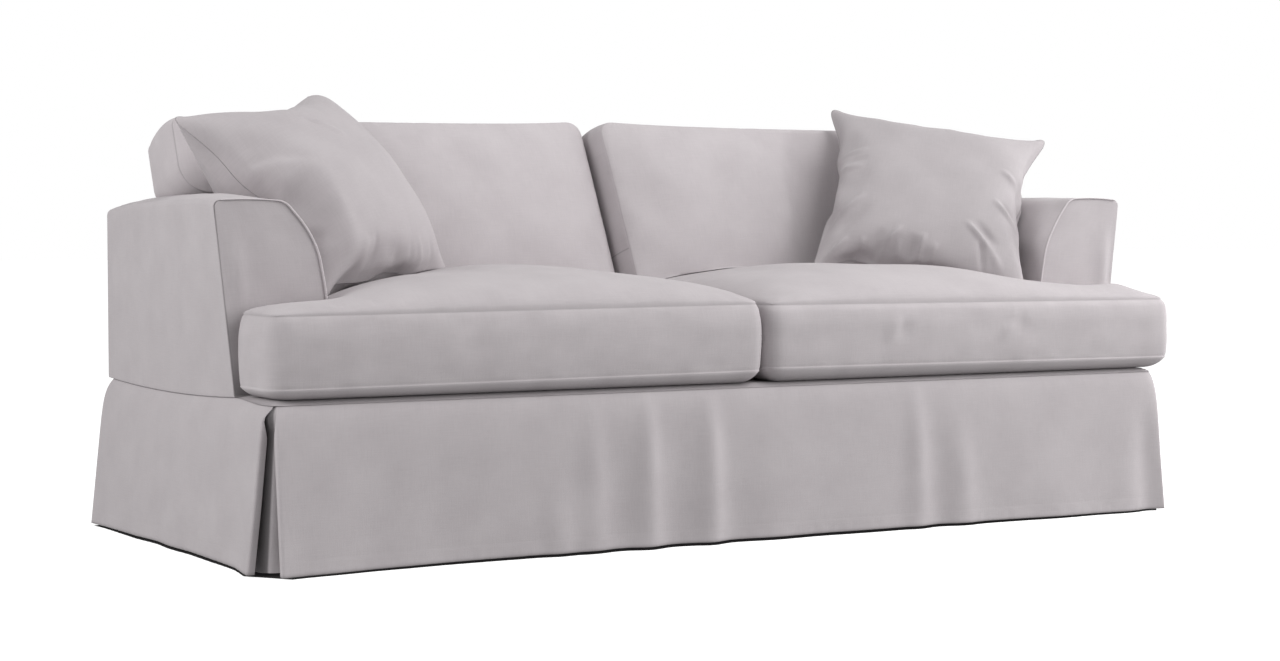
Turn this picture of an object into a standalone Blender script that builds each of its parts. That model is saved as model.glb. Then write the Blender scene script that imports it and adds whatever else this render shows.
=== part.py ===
"""Loose cover set for a two-seat sofa: a fitted cover with a kick-pleat skirt, two seat cushions, two back
cushions and two square pillows, all in one cloth. Metres, z up. The sofa inside is left out."""

import bpy
import numpy as np

# x runs along the sofa, y back from the front of the seat base, z up from the floor.
CENTRE_Y = 0.4265  # middle of the footprint, which becomes the origin
CLOTH = 0.002
SEAM = 0.0004  # clearance between two pieces that are sewn together
CLEAR = 0.0050  # of a soft piece over the facets of the one it rests on

HALF_WIDTH = 1.0354  # outside of the arms at the skirt seam
ARM_FRONT = 0.1717
BACK = 0.8699
SKIRT_SEAM = 0.308
LEDGE_SEAM = 0.302
DECK = 0.310
ARM_HEIGHT = 0.673
ARM_FLARE = 0.0398  # how far the arm leans out at its front top; none at the back
ARM_CORNER = 0.018
LEAN = np.radians(22.0)  # of the inside back
WELT_RADIUS = 0.0024

# Arm top: distance back, then height at the outer edge, the crown and the inner edge.
ARM_TOP = np.array([
    # y      outer   crown   inner
    (0.1717, 0.6690, 0.6705, 0.6670),
    (0.2500, 0.6740, 0.6790, 0.6670),
    (0.4000, 0.6730, 0.6830, 0.6670),
    (0.6000, 0.6680, 0.6800, 0.6670),
    (0.7500, 0.6600, 0.6740, 0.6670),
    (0.8200, 0.6550, 0.6690, 0.6660),
    (0.8699, 0.6480, 0.6570, 0.6560),
])
# Inner side of the arm, and where the inside back meets it: height, half width inside, distance back.
ARM_INNER = np.array([
    # z      x       y
    (0.6670, 0.9375, 0.8699),
    (0.6667, 0.9360, 0.8350),
    (0.6620, 0.9320, 0.8120),
    (0.6490, 0.9200, 0.7970),
    (0.6300, 0.9030, 0.7873),
    (0.6060, 0.8860, 0.7776),
    (0.5740, 0.8710, 0.7647),
    (0.5390, 0.8630, 0.7505),
    (0.4820, 0.8540, 0.7275),
    (0.4000, 0.8515, 0.6944),
    (0.3106, 0.8500, 0.6582),
])

COLOURS = {"cover": (0.56, 0.53, 0.54, 1.0), "cushion": (0.60, 0.57, 0.58, 1.0)}


def material(name, colour):
    made = bpy.data.materials.new(name)
    made.use_nodes = True
    shader = made.node_tree.nodes["Principled BSDF"]
    shader.inputs["Base Color"].default_value = colour
    shader.inputs["Roughness"].default_value = 0.95
    return made


def mesh_object(name, points, faces, colour):
    """One closed mesh, its faces turned to point out."""
    points = points - (0.0, CENTRE_Y, 0.0)
    a, b, c, d = (points[faces[:, k]] for k in range(4))
    volume = (np.einsum("ij,ij->", a, np.cross(b, c)) + np.einsum("ij,ij->", a, np.cross(c, d))) / 6
    if volume < 0:
        faces = faces[:, ::-1]
    mesh = bpy.data.meshes.new(name)
    mesh.from_pydata(points.tolist(), [], faces.tolist())
    mesh.materials.append(material(name, COLOURS[colour]))
    made = bpy.data.objects.new(name, mesh)
    bpy.context.scene.collection.objects.link(made)
    return made


def border_edges(quads):
    ends = np.concatenate([np.stack([quads[:, k], quads[:, (k + 1) % 4]], 1) for k in range(4)])
    size = ends.max() + 1
    once = ~np.isin(ends[:, 0] * size + ends[:, 1], ends[:, 1] * size + ends[:, 0])
    return ends[once]


def cells(shape, keep):
    ids = np.arange(shape[0] * shape[1]).reshape(shape[:2])
    quads = np.stack([ids[:-1, :-1], ids[1:, :-1], ids[1:, 1:], ids[:-1, 1:]], -1)
    return quads.reshape(-1, 4) if keep is None else quads[keep]


def closed(name, layers, keep=None, colour="cover"):
    """Solid between the first and last layer, each a grid of points; the middle ones shape its edge."""
    quads = cells(layers[0].shape, keep)
    a, b = border_edges(quads).T
    size = layers[0].shape[0] * layers[0].shape[1]
    faces = [quads, quads[:, ::-1] + (len(layers) - 1) * size]
    for k in range(len(layers) - 1):
        step = k * size
        faces.append(np.stack([b + step, a + step, a + step + size, b + step + size], 1))
    faces = np.concatenate(faces)
    used, index = np.unique(faces, return_inverse=True)
    points = np.concatenate([layer.reshape(-1, 3) for layer in layers])[used]
    return mesh_object(name, points, index.reshape(faces.shape), colour)


def normals(points):
    """Unit normals of a grid of points, from the cross product of its two directions."""
    across = np.cross(np.gradient(points, axis=0), np.gradient(points, axis=1))
    return across / np.linalg.norm(across, axis=2, keepdims=True)


def panel(name, points, side=1.0, level_rows=()):
    """Cloth sheet with its outer face on the points; side says on which hand of the grid the inside lies.
    The rows in level_rows are thickened without a change of height."""
    inner = points + side * CLOTH * normals(points)
    for row in level_rows:
        inner[row, :, 2] = points[row, :, 2]
    return closed(name, [points, inner])


def mirrored(points, side):
    return points * (side, 1.0, 1.0)


def smooth(t):
    t = np.clip(t, 0.0, 1.0)
    return t * t * (3 - 2 * t)


# ---- arms ----


def arm_column(y):
    """Outline of an arm at one distance back, from the skirt seam over the top to the deck, as x and z."""
    outer, crown, inner = (np.interp(y, ARM_TOP[:, 0], ARM_TOP[:, k]) for k in (1, 2, 3))
    flare = ARM_FLARE * (BACK - y) / (BACK - ARM_FRONT)
    z = np.linspace(SKIRT_SEAM + SEAM, outer - ARM_CORNER, 6)
    side = np.stack([HALF_WIDTH + flare * (z - SKIRT_SEAM) / (ARM_HEIGHT - SKIRT_SEAM), z], 1)
    turn = np.radians((30, 60, 90))[:, None]
    corner = side[-1] + ARM_CORNER * np.concatenate([np.cos(turn) - 1, np.sin(turn)], 1)
    across = np.linspace(-1.0, 1.0, 6)[1:-1, None]
    top_x = corner[-1, 0] + (ARM_INNER[0, 1] - corner[-1, 0]) * (across + 1) / 2
    level = outer + (inner - outer) * (across + 1) / 2
    top = np.concatenate([top_x, level + (crown - (outer + inner) / 2) * (1 - across**2)], 1)
    inside = ARM_INNER[:, [1, 0]] + np.stack([np.zeros(len(ARM_INNER)), (inner - ARM_INNER[0, 0])
                                              * smooth((ARM_INNER[:, 0] - 0.6) / 0.06)], 1)
    return np.concatenate([side, corner, top, inside])


def arm(side, hand):
    count = len(arm_column(0.5))
    end = np.full(count, BACK - CLOTH - SEAM)
    end[-len(ARM_INNER) + 1:] = ARM_INNER[1:, 2] + CLOTH
    start = ARM_FRONT + CLOTH + SEAM
    share = np.array([0, 0.06, 0.15, 0.28, 0.42, 0.56, 0.7, 0.82, 0.92, 1.0])
    y = start + share[:, None] * (end - start)
    points = np.empty((len(share), count, 3))
    for row in range(len(share)):
        for column in range(count):
            x, z = arm_column(y[row, column])[column]
            points[row, column] = -x, y[row, column], z
    panel(f"arm_wrap_{hand}", mirrored(points, side), side)

    outline = arm_column(ARM_FRONT)
    top_left, top_right = 8, count - len(ARM_INNER)
    inside = outline[top_right:][::-1]
    heights = inside[:-1, 1]
    left = np.stack([np.interp(heights, outline[:top_left + 1, 1], outline[:top_left + 1, 0]), heights], 1)
    left[0, 1] = inside[0, 1] = DECK + SEAM
    rows = [np.linspace(left[k], inside[k], 6) for k in range(len(heights)) if heights[k] < 0.6665]
    rows.append(outline[top_left:top_right + 1])
    flat = np.stack(rows)
    points = np.stack([-flat[..., 0], np.full(flat.shape[:2], ARM_FRONT), flat[..., 1]], 2)
    points = mirrored(points, side)
    closed(f"arm_front_{hand}", [points, points + (0.0, CLOTH, 0.0)])

    path = outline[top_left:-2] * (-side, 1.0)
    along = np.gradient(path, axis=0)
    across = np.stack([along[:, 1], -along[:, 0]], 1) * side
    across /= np.linalg.norm(across, axis=1, keepdims=True)
    reach = (WELT_RADIUS + SEAM) * 0.72
    around = np.arange(8) * np.pi / 4
    ring = np.stack([np.cos(around), np.sin(around)], 1)
    points = np.empty((len(path), 8, 3))
    points[..., 0::2] = (path - reach * across)[:, None] + WELT_RADIUS * ring[None, :, :1] * across[:, None]
    points[..., 1] = ARM_FRONT - reach + WELT_RADIUS * ring[:, 1]
    tube(f"arm_welt_{hand}", points)


def tube(name, rings):
    """Closed tube through rings of points, with a fan of quads at each end."""
    count, around = rings.shape[:2]
    ids = np.arange(count * around).reshape(count, around)
    after = np.roll(ids, -1, axis=1)
    faces = [np.stack([ids[:-1], after[:-1], after[1:], ids[1:]], -1).reshape(-1, 4)]
    fan = np.array([(0, k, k + 1, k + 2) for k in range(1, around - 2, 2)])
    faces += [ids[0][fan][:, ::-1], ids[-1][fan]]
    mesh_object(name, rings.reshape(-1, 3), np.concatenate(faces), "cover")


# ---- back and deck ----


def back_top(x):
    """Rise of the back's top edge over its ends."""
    return 0.012 * (1 - np.clip(np.abs(x) / ARM_INNER[0, 1], 0, 1) ** 2)


def back():
    rows = ARM_INNER[::-1].copy()
    rows[-1, 2] = BACK - CLOTH - SEAM
    rows[-1, 0] = ARM_TOP[-1, 3]
    rows = np.insert(rows, -1, (0.6640, 0.9375, 0.8530), axis=0)
    rows[0, 0] = DECK + SEAM
    across = np.linspace(-1, 1, 13)
    x = (rows[:, 1, None] - 2 * SEAM) * across
    rise = back_top(x) * smooth((rows[:, 0, None] - 0.60) / 0.06)
    points = np.stack([x, np.broadcast_to(rows[:, 2, None], x.shape), rows[:, 0, None] + rise], 2)
    panel("inside_back", points, 1.0)

    outline = arm_column(BACK)
    end = len(outline) - len(ARM_INNER)
    edge = outline[5:end]
    middle = np.linspace(-0.93, 0.93, 11)
    x = np.concatenate([-edge[:, 0], middle, edge[::-1, 0]])
    top = np.concatenate([edge[:, 1], ARM_TOP[-1, 3] + back_top(middle), edge[::-1, 1]])
    share = np.linspace(0, 1, 5)[:, None]
    z = SKIRT_SEAM + SEAM + share * (top - SKIRT_SEAM - SEAM)
    points = np.stack([np.broadcast_to(x, z.shape), np.full(z.shape, BACK), z], 2)
    closed("outside_back", [points, points - (0.0, CLOTH, 0.0)])


def rounded(x, y, corners):
    """Plan points with corners rounded, each given as its x and y, the way it points in x and y, and its
    radius: x' = x sqrt(1 - y^2 / 2) and the same for y, which maps a square to a disc."""
    for corner_x, corner_y, way_x, way_y, radius in corners:
        a = np.clip(way_x * (x - corner_x) / radius + 1, 0, 1)
        b = np.clip(way_y * (y - corner_y) / radius + 1, 0, 1)
        near = (a > 0) & (b > 0) & (a <= 1) & (b <= 1)
        near &= (way_x * (x - corner_x) <= 1e-6) & (way_y * (y - corner_y) <= 1e-6)
        new_x = corner_x + way_x * radius * (a * np.sqrt(1 - b * b / 2) - 1)
        new_y = corner_y + way_y * radius * (b * np.sqrt(1 - a * a / 2) - 1)
        x, y = np.where(near, new_x, x), np.where(near, new_y, y)
    return x, y


def deck():
    inner = ARM_INNER[-1, 1] - SEAM
    right = np.array([0, 0.2, 0.42, 0.63, inner, 0.93, 1.005, 1.024, 1.032, HALF_WIDTH])
    x = np.concatenate([-right[:0:-1], right])
    y = np.array([0, 0.0035, 0.011, 0.03, 0.09, ARM_FRONT - SEAM, 0.3, 0.45, ARM_INNER[-1, 2] - 0.0006])
    x, y = np.meshgrid(x, y, indexing="ij")
    edge = np.minimum(HALF_WIDTH - np.abs(x), y)
    fall = smooth(1 - edge / 0.03) ** 1.5
    z = DECK - fall * (DECK - ledge_height(y))
    plan = rounded(x, y, [(HALF_WIDTH, 0, 1, -1, 0.03), (-HALF_WIDTH, 0, -1, -1, 0.03)])
    keep = (np.abs(x[1:, 1:] + x[:-1, 1:]) / 2 < inner) | (y[:-1, 1:] < ARM_FRONT)
    edge_side = smooth(1 - (HALF_WIDTH - np.abs(x)) / 0.012) * (y < ARM_FRONT)
    edge_front = smooth(1 - y / 0.012)
    under = z - CLOTH * (1 - np.maximum(edge_side, edge_front))
    inner_plan = plan[0] - np.sign(x) * CLOTH * edge_side, plan[1] + CLOTH * edge_front
    closed("deck", [np.stack([*plan, z], 2), np.stack([*inner_plan, under], 2)], keep)


def ledge_height(y):
    return LEDGE_SEAM + (SKIRT_SEAM - LEDGE_SEAM) * smooth((y - 0.05) / 0.11)


# ---- skirt ----

# Across a turned-in edge: distance along the panel from its end at the seam and below it, and how far behind
# its face below.
TURN_IN = np.array([
    # seam    below   behind
    (0.0000, 0.0010, 0.0160),
    (0.0010, 0.0003, 0.0090),
    (0.0020, 0.0000, 0.0045),
    (0.0030, 0.0012, 0.0015),
    (0.0045, 0.0045, 0.0000),
    (0.0120, 0.0120, 0.0000),
])
DROP = np.array([0, 0.04, 0.10, 0.22, 0.42, 0.62, 0.82, 1.0])  # share of the way from the seam to the hem

# Folds of each panel: place along it, half width, depth (out is positive).
FRONT_FOLDS = ((-0.380, 0.028, 0.010), (-0.320, 0.025, -0.005), (-0.262, 0.026, 0.012), (-0.190, 0.030, -0.007),
               (-0.121, 0.026, 0.012), (-0.050, 0.040, -0.004), (0.374, 0.026, 0.011), (0.430, 0.025, -0.007),
               (0.487, 0.028, 0.011), (0.985, 0.028, -0.012))
LEFT_FOLDS = ((0.30, 0.12, -0.006), (0.12, 0.07, -0.004))
RIGHT_FOLDS = ((0.35, 0.10, -0.005), (0.62, 0.08, 0.006))
BACK_FOLDS = ((-0.45, 0.06, 0.008), (0.10, 0.08, -0.007), (0.55, 0.05, 0.009))


def bumps(place, folds):
    return sum(depth * np.exp(-((place - at) / width) ** 2) for at, width, depth in folds)


def columns_along(length, folds, count):
    """Places along a panel, closer together at its narrow folds, without its ends."""
    fine = np.linspace(0, length, 2001)
    weight = np.ones(len(fine))
    for fold, width, _ in folds:
        weight += 4 * (width < 0.045) * np.exp(-((fine - length / 2 - fold) / (1.5 * width)) ** 2)
    total = np.concatenate([[0], np.cumsum(weight[1:])])
    return np.interp(np.linspace(0, total[-1], count), total, fine)[1:-1]


def flare(drop):
    """Share of the hem's spread at a share of the drop: a round shoulder, then straight."""
    return 0.45 * (1 - np.exp(-drop / 0.07)) + 0.55 * drop


def skirt(name, top_ends, hem_ends, seam, folds, spread, columns):
    """Panel hanging from the line between top_ends to the one between hem_ends, seen from outside left to
    right. spread: extra reach of the hem at its left and right ends; folds widen towards the hem."""
    top_ends, hem_ends = np.array(top_ends), np.array(hem_ends)
    length = np.linalg.norm(top_ends[1] - top_ends[0])
    along = (top_ends[1] - top_ends[0]) / length
    out = np.array([along[1], -along[0]])
    inner = columns_along(length, folds, columns)
    points = np.empty((len(DROP), len(inner) + 2 * len(TURN_IN), 3))
    for row, drop in enumerate(DROP):
        turned = smooth((drop - 0.02) / 0.2)
        ends = TURN_IN[:, 0] + turned * (TURN_IN[:, 1] - TURN_IN[:, 0])
        place = np.concatenate([ends, inner, length - ends[::-1]])
        behind = turned * np.concatenate([TURN_IN[:, 2], 0 * inner, TURN_IN[::-1, 2]])
        share = place / length
        level = seam(top_ends[0] + share[:, None] * (top_ends[1] - top_ends[0]))
        lift = 0.006 * smooth(np.minimum(share, 1 - share) / 0.35)
        centre = place - length / 2
        open_out = flare(drop)
        line = top_ends + (hem_ends - top_ends) * open_out
        reach = bumps(centre, folds) * smooth((drop - 0.06) / 0.5) * (0.75 + 0.25 * drop)
        reach += drop * (spread[0] * np.exp(-place / 0.16) + spread[1] * np.exp(-(length - place) / 0.16))
        corner = 0.0088 * np.clip(1 - np.minimum(place, length - place) / 0.022, 0, 1) ** 2 * (1 - open_out)
        plan = line[0] + share[:, None] * (line[1] - line[0]) + (reach - behind - corner)[:, None] * out
        points[row, :, :2] = plan
        points[row, :, 2] = (level - SEAM) * (1 - drop) + lift * drop
    panel(name, points, 1.0, (0, -1))


def pleat(name, side, front, x_hem, y_hem):
    """Insert behind an open corner, bent round it. front: 1 at the front corners, -1 at the back ones."""
    arm_length = np.array([0.11, 0.08, 0.05, 0.025, 0.008])
    leg = np.concatenate([arm_length, -arm_length[::-1]])
    x = np.where(leg > 0, leg, 0.0)
    y = np.where(leg < 0, -leg, 0.0)
    corner_y = 0.0 if front > 0 else BACK
    points = np.empty((len(DROP), len(leg), 3))
    top = (LEDGE_SEAM if front > 0 else SKIRT_SEAM) - 0.0004
    for row, drop in enumerate(DROP):
        inset = 0.0024 + 0.0187 * smooth(drop / 0.18)
        round_off = 0.011 * np.exp(-np.abs(leg) / 0.012)
        corner = np.array([HALF_WIDTH - inset, inset]) + flare(drop) * np.array([x_hem, -y_hem])
        points[row, :, 0] = side * (corner[0] - x - round_off)
        points[row, :, 1] = corner_y + front * (corner[1] + y + round_off)
        points[row, :, 2] = top * (1 - drop) + 0.004 * drop
    panel(name, points, -side * front, (0, -1))


def skirts():
    w, c = HALF_WIDTH, 0.0125
    ledge = lambda line: np.full(len(line), LEDGE_SEAM)
    plain = lambda line: np.full(len(line), SKIRT_SEAM)
    sides = lambda line: np.where(line[:, 1] < ARM_FRONT, ledge_height(line[:, 1]), SKIRT_SEAM)
    skirt("skirt_front", [(-w + c, 0), (w - c, 0)], [(-w - 0.010, -0.034), (w + 0.014, -0.014)], ledge,
          FRONT_FOLDS, (0.038, 0.012), 50)
    skirt("skirt_left", [(-w, BACK - c), (-w, c)], [(-w - 0.022, 0.914), (-w - 0.026, -0.022)], sides,
          LEFT_FOLDS, (0.006, 0.032), 16)
    skirt("skirt_right", [(w, c), (w, BACK - c)], [(w + 0.022, 0.012), (w + 0.022, 0.914)], sides,
          RIGHT_FOLDS, (0.014, 0.006), 16)
    skirt("skirt_back", [(w - c, BACK), (-w + c, BACK)], [(w - 0.026, 0.915), (-w + 0.026, 0.915)], plain,
          BACK_FOLDS, (0.010, 0.010), 24)
    pleat("pleat_front_left", -1, 1, 0.0436, 0.033)
    pleat("pleat_front_right", 1, 1, 0.0256, 0.021)
    pleat("pleat_back_left", -1, -1, 0.0236, 0.051)
    pleat("pleat_back_right", 1, -1, 0.0236, 0.051)


# ---- cushions ----


def membrane(x, y, keep):
    """Height from 0 at the edge to 1 at the fullest place of a sheet blown up over the kept cells."""
    inside = np.zeros(x.shape, bool)
    inside[1:-1, 1:-1] = keep[1:, 1:] & keep[:-1, 1:] & keep[1:, :-1] & keep[:-1, :-1]
    left, right = np.diff(x, axis=0)[:-1, 1:-1], np.diff(x, axis=0)[1:, 1:-1]
    down, up = np.diff(y, axis=1)[1:-1, :-1], np.diff(y, axis=1)[1:-1, 1:]
    across, along = 2 / (left + right), 2 / (down + up)
    weight = across * (1 / left + 1 / right) + along * (1 / down + 1 / up)
    height = np.zeros(x.shape)
    for _ in range(1500):
        total = across * (height[:-2, 1:-1] / left + height[2:, 1:-1] / right)
        total += along * (height[1:-1, :-2] / down + height[1:-1, 2:] / up)
        height[1:-1, 1:-1] = np.where(inside[1:-1, 1:-1], (total + 1) / weight, 0)
    return height / height.max()


def outward(plan, keep):
    """Unit vectors out of the edge of the kept cells, at its points."""
    quads = cells(plan.shape, keep)
    a, b = border_edges(quads).T
    flat = plan.reshape(-1, 2)
    step = flat[b] - flat[a]
    turned = np.stack([step[:, 1], -step[:, 0]], 1)
    centre = flat[quads].mean(axis=1)
    turned /= np.linalg.norm(turned, axis=1, keepdims=True)
    total = np.zeros_like(flat)
    np.add.at(total, a, turned)
    np.add.at(total, b, turned)
    size = np.linalg.norm(total, axis=1, keepdims=True)
    total = np.divide(total, size, out=total, where=size > 0)
    to_middle = (flat[a] - centre.mean(axis=0)) * total[a]
    return (total if to_middle.sum() > 0 else -total).reshape(plan.shape)


def at(grid, x_lines, y_lines, x, y):
    """Bilinear value of a grid at points."""
    i = np.clip(np.searchsorted(x_lines, x) - 1, 0, len(x_lines) - 2)
    j = np.clip(np.searchsorted(y_lines, y) - 1, 0, len(y_lines) - 2)
    s = np.clip((x - x_lines[i]) / (x_lines[i + 1] - x_lines[i]), 0, 1)
    t = np.clip((y - y_lines[j]) / (y_lines[j + 1] - y_lines[j]), 0, 1)
    low = grid[i, j] * (1 - s) + grid[i + 1, j] * s
    high = grid[i, j + 1] * (1 - s) + grid[i + 1, j + 1] * s
    return low * (1 - t) + high * t


SEAT_TOP_SEAM, SEAT_BOTTOM_SEAM = 0.4638, 0.3336
SEAT_REST = DECK + 0.0006
SEAT_BACK = 0.648


def seat_cushion(hand, side, joint, crown, ear_bulge):
    """Box cushion with an ear in front of the arm. Returns its x and y lines and the heights of its top."""
    inner, outer, front, ear_back = 0.8440, 1.0330, -0.005, 0.164
    x_lines = np.concatenate([joint + np.array([0, 0.009, 0.032, 0.077]), [
        0.17, 0.27, 0.38, 0.49, 0.60, 0.70, 0.77, 0.815, 0.836, inner, 0.90, 0.96, 1.00, 1.022, outer]])
    y_lines = np.array([front, 0.004, 0.022, 0.055, 0.10, 0.135, 0.155, ear_back, 0.24, 0.34, 0.44, 0.53, 0.59,
                        0.625, 0.642, SEAT_BACK])
    x, y = np.meshgrid(x_lines, y_lines, indexing="ij")
    on_ear = x > inner + 1e-6
    keep = (x[1:, 1:] <= inner + 1e-6) | (y[1:, 1:] <= ear_back + 1e-6)
    rise = membrane(x, y, keep)
    plan = np.stack(rounded(x, y, [(joint, front, -1, -1, 0.026), (outer, front, 1, -1, 0.034),
                                   (outer, ear_back, 1, 1, 0.032), (joint, SEAT_BACK, -1, 1, 0.025),
                                   (inner, SEAT_BACK, 1, 1, 0.025)]), 2)
    top_z = SEAT_TOP_SEAM + crown * rise ** 0.62
    out = outward(plan, keep)
    by_ear = np.exp(-((outer - x) / 0.03) ** 2)
    by_front = np.exp(-((y - front) / 0.03) ** 2)
    bulge = 0.009 + (ear_bulge - 0.009) * by_ear + 0.004 * by_front * (1 - by_ear)
    layers = [np.dstack([plan, top_z])]
    for share, z in ((0.8, 0.435), (1.0, 0.400), (0.9, 0.362), (0.6, SEAT_BOTTOM_SEAM), (0.45, 0.320)):
        ring = plan + (share * bulge)[..., None] * out
        ring[..., 0] = np.maximum(ring[..., 0], joint - 0.0125)
        ring[..., 1] = np.where(on_ear & (y > 0.12), np.minimum(ring[..., 1], 0.1680), ring[..., 1])
        ring[..., 0] = np.where(~on_ear & (y > ear_back - 0.001), np.minimum(ring[..., 0], 0.8480), ring[..., 0])
        layers.append(np.dstack([ring, np.full(x.shape, z)]))
    layers.append(np.dstack([plan, np.where(rise > 0, SEAT_REST, SEAT_REST + 0.0024)]))
    closed(f"seat_cushion_{hand}", [mirrored(layer, side) for layer in layers], keep, "cushion")
    return x_lines, y_lines, top_z


# The back cushions' own axes: across (x), up the lean, and forward out of the lean.
UP = np.array([0.0, np.sin(LEAN), np.cos(LEAN)])
FORWARD = np.array([0.0, -np.cos(LEAN), np.sin(LEAN)])


def back_cushion(hand, side, front_y, depth, turn, seat):
    """Box cushion with an ear over the arm, leaning on the inside back and standing on the seat cushion."""
    top_z, foot_z = 0.838, 0.505
    origin = np.array([0.0, front_y, top_z])
    height = (top_z - foot_z) / np.cos(LEAN)
    notch = -height + (0.690 - foot_z) / np.cos(LEAN)
    joint, inner, outer = 0.0120, 0.8640, 0.960
    u_lines = np.array([joint, 0.020, 0.045, 0.10, 0.19, 0.30, 0.42, 0.54, 0.65, 0.74, 0.81, 0.85, inner, 0.89,
                        0.92, 0.948, outer])
    v_lines = np.concatenate([-height + np.array([0, 0.012, 0.04, 0.09, 0.15]), notch + np.array([
        0, 0.012, 0.04, 0.08, 0.12, 0.145]), [-0.010, 0.0]])
    u, v = np.meshgrid(u_lines, v_lines, indexing="ij")
    keep = (u[1:, 1:] <= inner + 1e-6) | (v[:-1, :-1] >= notch - 1e-6)
    rise = membrane(u, v, keep)
    plan = np.stack(rounded(u, v, [(joint, 0.0, -1, 1, 0.025), (outer, 0.0, 1, 1, 0.030),
                                   (outer, notch, 1, -1, 0.045), (joint, -height, -1, -1, 0.03),
                                   (inner, -height, 1, -1, 0.03)]), 2)
    out = outward(plan, keep)
    front_crown, back_crown = 0.045 * rise ** 0.6, 0.010 * rise ** 0.5
    layers = [np.dstack([plan, front_crown])]
    for share, place in ((0.75, 0.2), (1.0, 0.5), (0.75, 0.8)):
        ring = plan + share * 0.011 * out
        ring[..., 0] = np.maximum(ring[..., 0], 0.0022)
        layers.append(np.dstack([ring, np.full(u.shape, -place * depth)]))
    layers.append(np.dstack([plan, -depth - back_crown]))
    made = []
    for layer in layers:
        points = origin + layer[..., 1:2] * UP + layer[..., 2:] * FORWARD
        points[..., 0] = layer[..., 0]
        points[..., 1] += turn * points[..., 0]
        points[..., 2] += 0.012 * np.exp(-points[..., 0] / 0.15) * (1 + layer[..., 1] / height)
        floor = at(seat[2], seat[0], seat[1], points[..., 0], points[..., 1]) + CLEAR
        over_arm = np.interp(points[..., 1], ARM_TOP[:, 0], ARM_TOP[:, 2]) + 0.004
        floor = np.where(u > inner + 1e-6, over_arm, floor)
        points[..., 2] = np.maximum(points[..., 2], floor)
        below = points[..., 2] - 1.3 * back_top(points[..., 0]) * smooth((points[..., 2] - 0.6) / 0.06)
        limit = np.interp(below, ARM_INNER[::-1, 0], ARM_INNER[::-1, 2]) - 0.0024
        points[..., 1] = np.where(below < 0.667, np.minimum(points[..., 1], limit), points[..., 1])
        reach = np.interp(points[..., 2], ARM_INNER[::-1, 0], ARM_INNER[::-1, 1]) - 0.003
        points[..., 0] = np.where(u > inner + 1e-6, points[..., 0], np.minimum(points[..., 0], reach))
        made.append(mirrored(points, side))
    closed(f"back_cushion_{hand}", made, keep, "cushion")
    return u_lines, v_lines, front_crown, origin, turn


def pillow(hand, side, centre, right, up, size, crowns, seat, back_rest):
    """Square knife-edge pillow with its sides drawn in between the corners."""
    right, up = np.array(right) / np.linalg.norm(right), np.array(up) / np.linalg.norm(up)
    forward = np.cross(right, up)
    forward /= np.linalg.norm(forward)
    lines = np.array([-1, -0.965, -0.88, -0.74, -0.55, -0.33, -0.11, 0.11, 0.33, 0.55, 0.74, 0.88, 0.965, 1.0])
    a, b = np.meshgrid(lines, lines, indexing="ij")
    rise = membrane(a, b, np.ones((len(lines) - 1, len(lines) - 1), bool))
    plan_a = size[0] / 2 * a * (1 - 0.06 * (1 - b**2))
    plan_b = size[1] / 2 * b * (1 - 0.06 * (1 - a**2))
    full = rise ** 0.52
    layers = []
    for offset in (0.0025 + crowns[0] * full, -0.0025 - crowns[1] * full):
        points = np.array(centre) + plan_a[..., None] * right + plan_b[..., None] * up
        points = points + offset[..., None] * forward
        layers.append(rest(points, side, seat, back_rest))
    closed(f"pillow_{hand}", layers, None, "cushion")


def rest(points, side, seat, back_rest):
    """Moves points off the back cushion's front, the arm and the seat cushion's top."""
    points = mirrored(points, side)
    u_lines, v_lines, crown, origin, turn = back_rest
    local = points - origin
    local[..., 1] -= turn * points[..., 0]
    v, n = local @ UP, local @ FORWARD
    need = at(crown, u_lines, v_lines, points[..., 0], v) + CLEAR
    push = np.where((v > v_lines[0]) & (v < 0.02), np.clip(need - n, 0, None), 0)
    points = points + push[..., None] * FORWARD
    reach = np.interp(points[..., 2], ARM_INNER[::-1, 0], ARM_INNER[::-1, 1]) - 0.003
    low = (points[..., 2] < 0.675) & (points[..., 1] > ARM_FRONT - 0.02)
    points[..., 0] = np.where(low, np.minimum(points[..., 0], reach), points[..., 0])
    floor = at(seat[2], seat[0], seat[1], points[..., 0], points[..., 1]) + CLEAR
    points[..., 2] = np.maximum(points[..., 2], floor)
    return mirrored(points, side)


def main():
    for obj in list(bpy.data.objects):
        bpy.data.objects.remove(obj)
    arm(1.0, "left")
    arm(-1.0, "right")
    back()
    deck()
    skirts()
    seat_left = seat_cushion("left", -1.0, 0.0025, 0.074, 0.010)
    seat_right = seat_cushion("right", 1.0, 0.0275, 0.079, 0.028)
    back_left = back_cushion("left", -1.0, 0.700, 0.150, 0.0, seat_left)
    back_right = back_cushion("right", 1.0, 0.655, 0.185, 0.020, seat_right)
    pillow("left", -1.0, (-0.720, 0.507, 0.688), (0.860, 0.495, 0.126), (-0.399, 0.496, 0.772), (0.458, 0.463),
           (0.110, 0.075), seat_left, back_left)
    pillow("right", 1.0, (0.736, 0.425, 0.686), (0.818, -0.555, -0.152), (0.498, 0.549, 0.671), (0.488, 0.490),
           (0.084, 0.068), seat_right, back_right)


main()
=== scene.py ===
# Cover set for a two-seat sofa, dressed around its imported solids: a fitted cover with a kick-pleat skirt, seat and
# back cushions and two square pillows, all in one pale mauve-grey plain weave.

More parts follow.
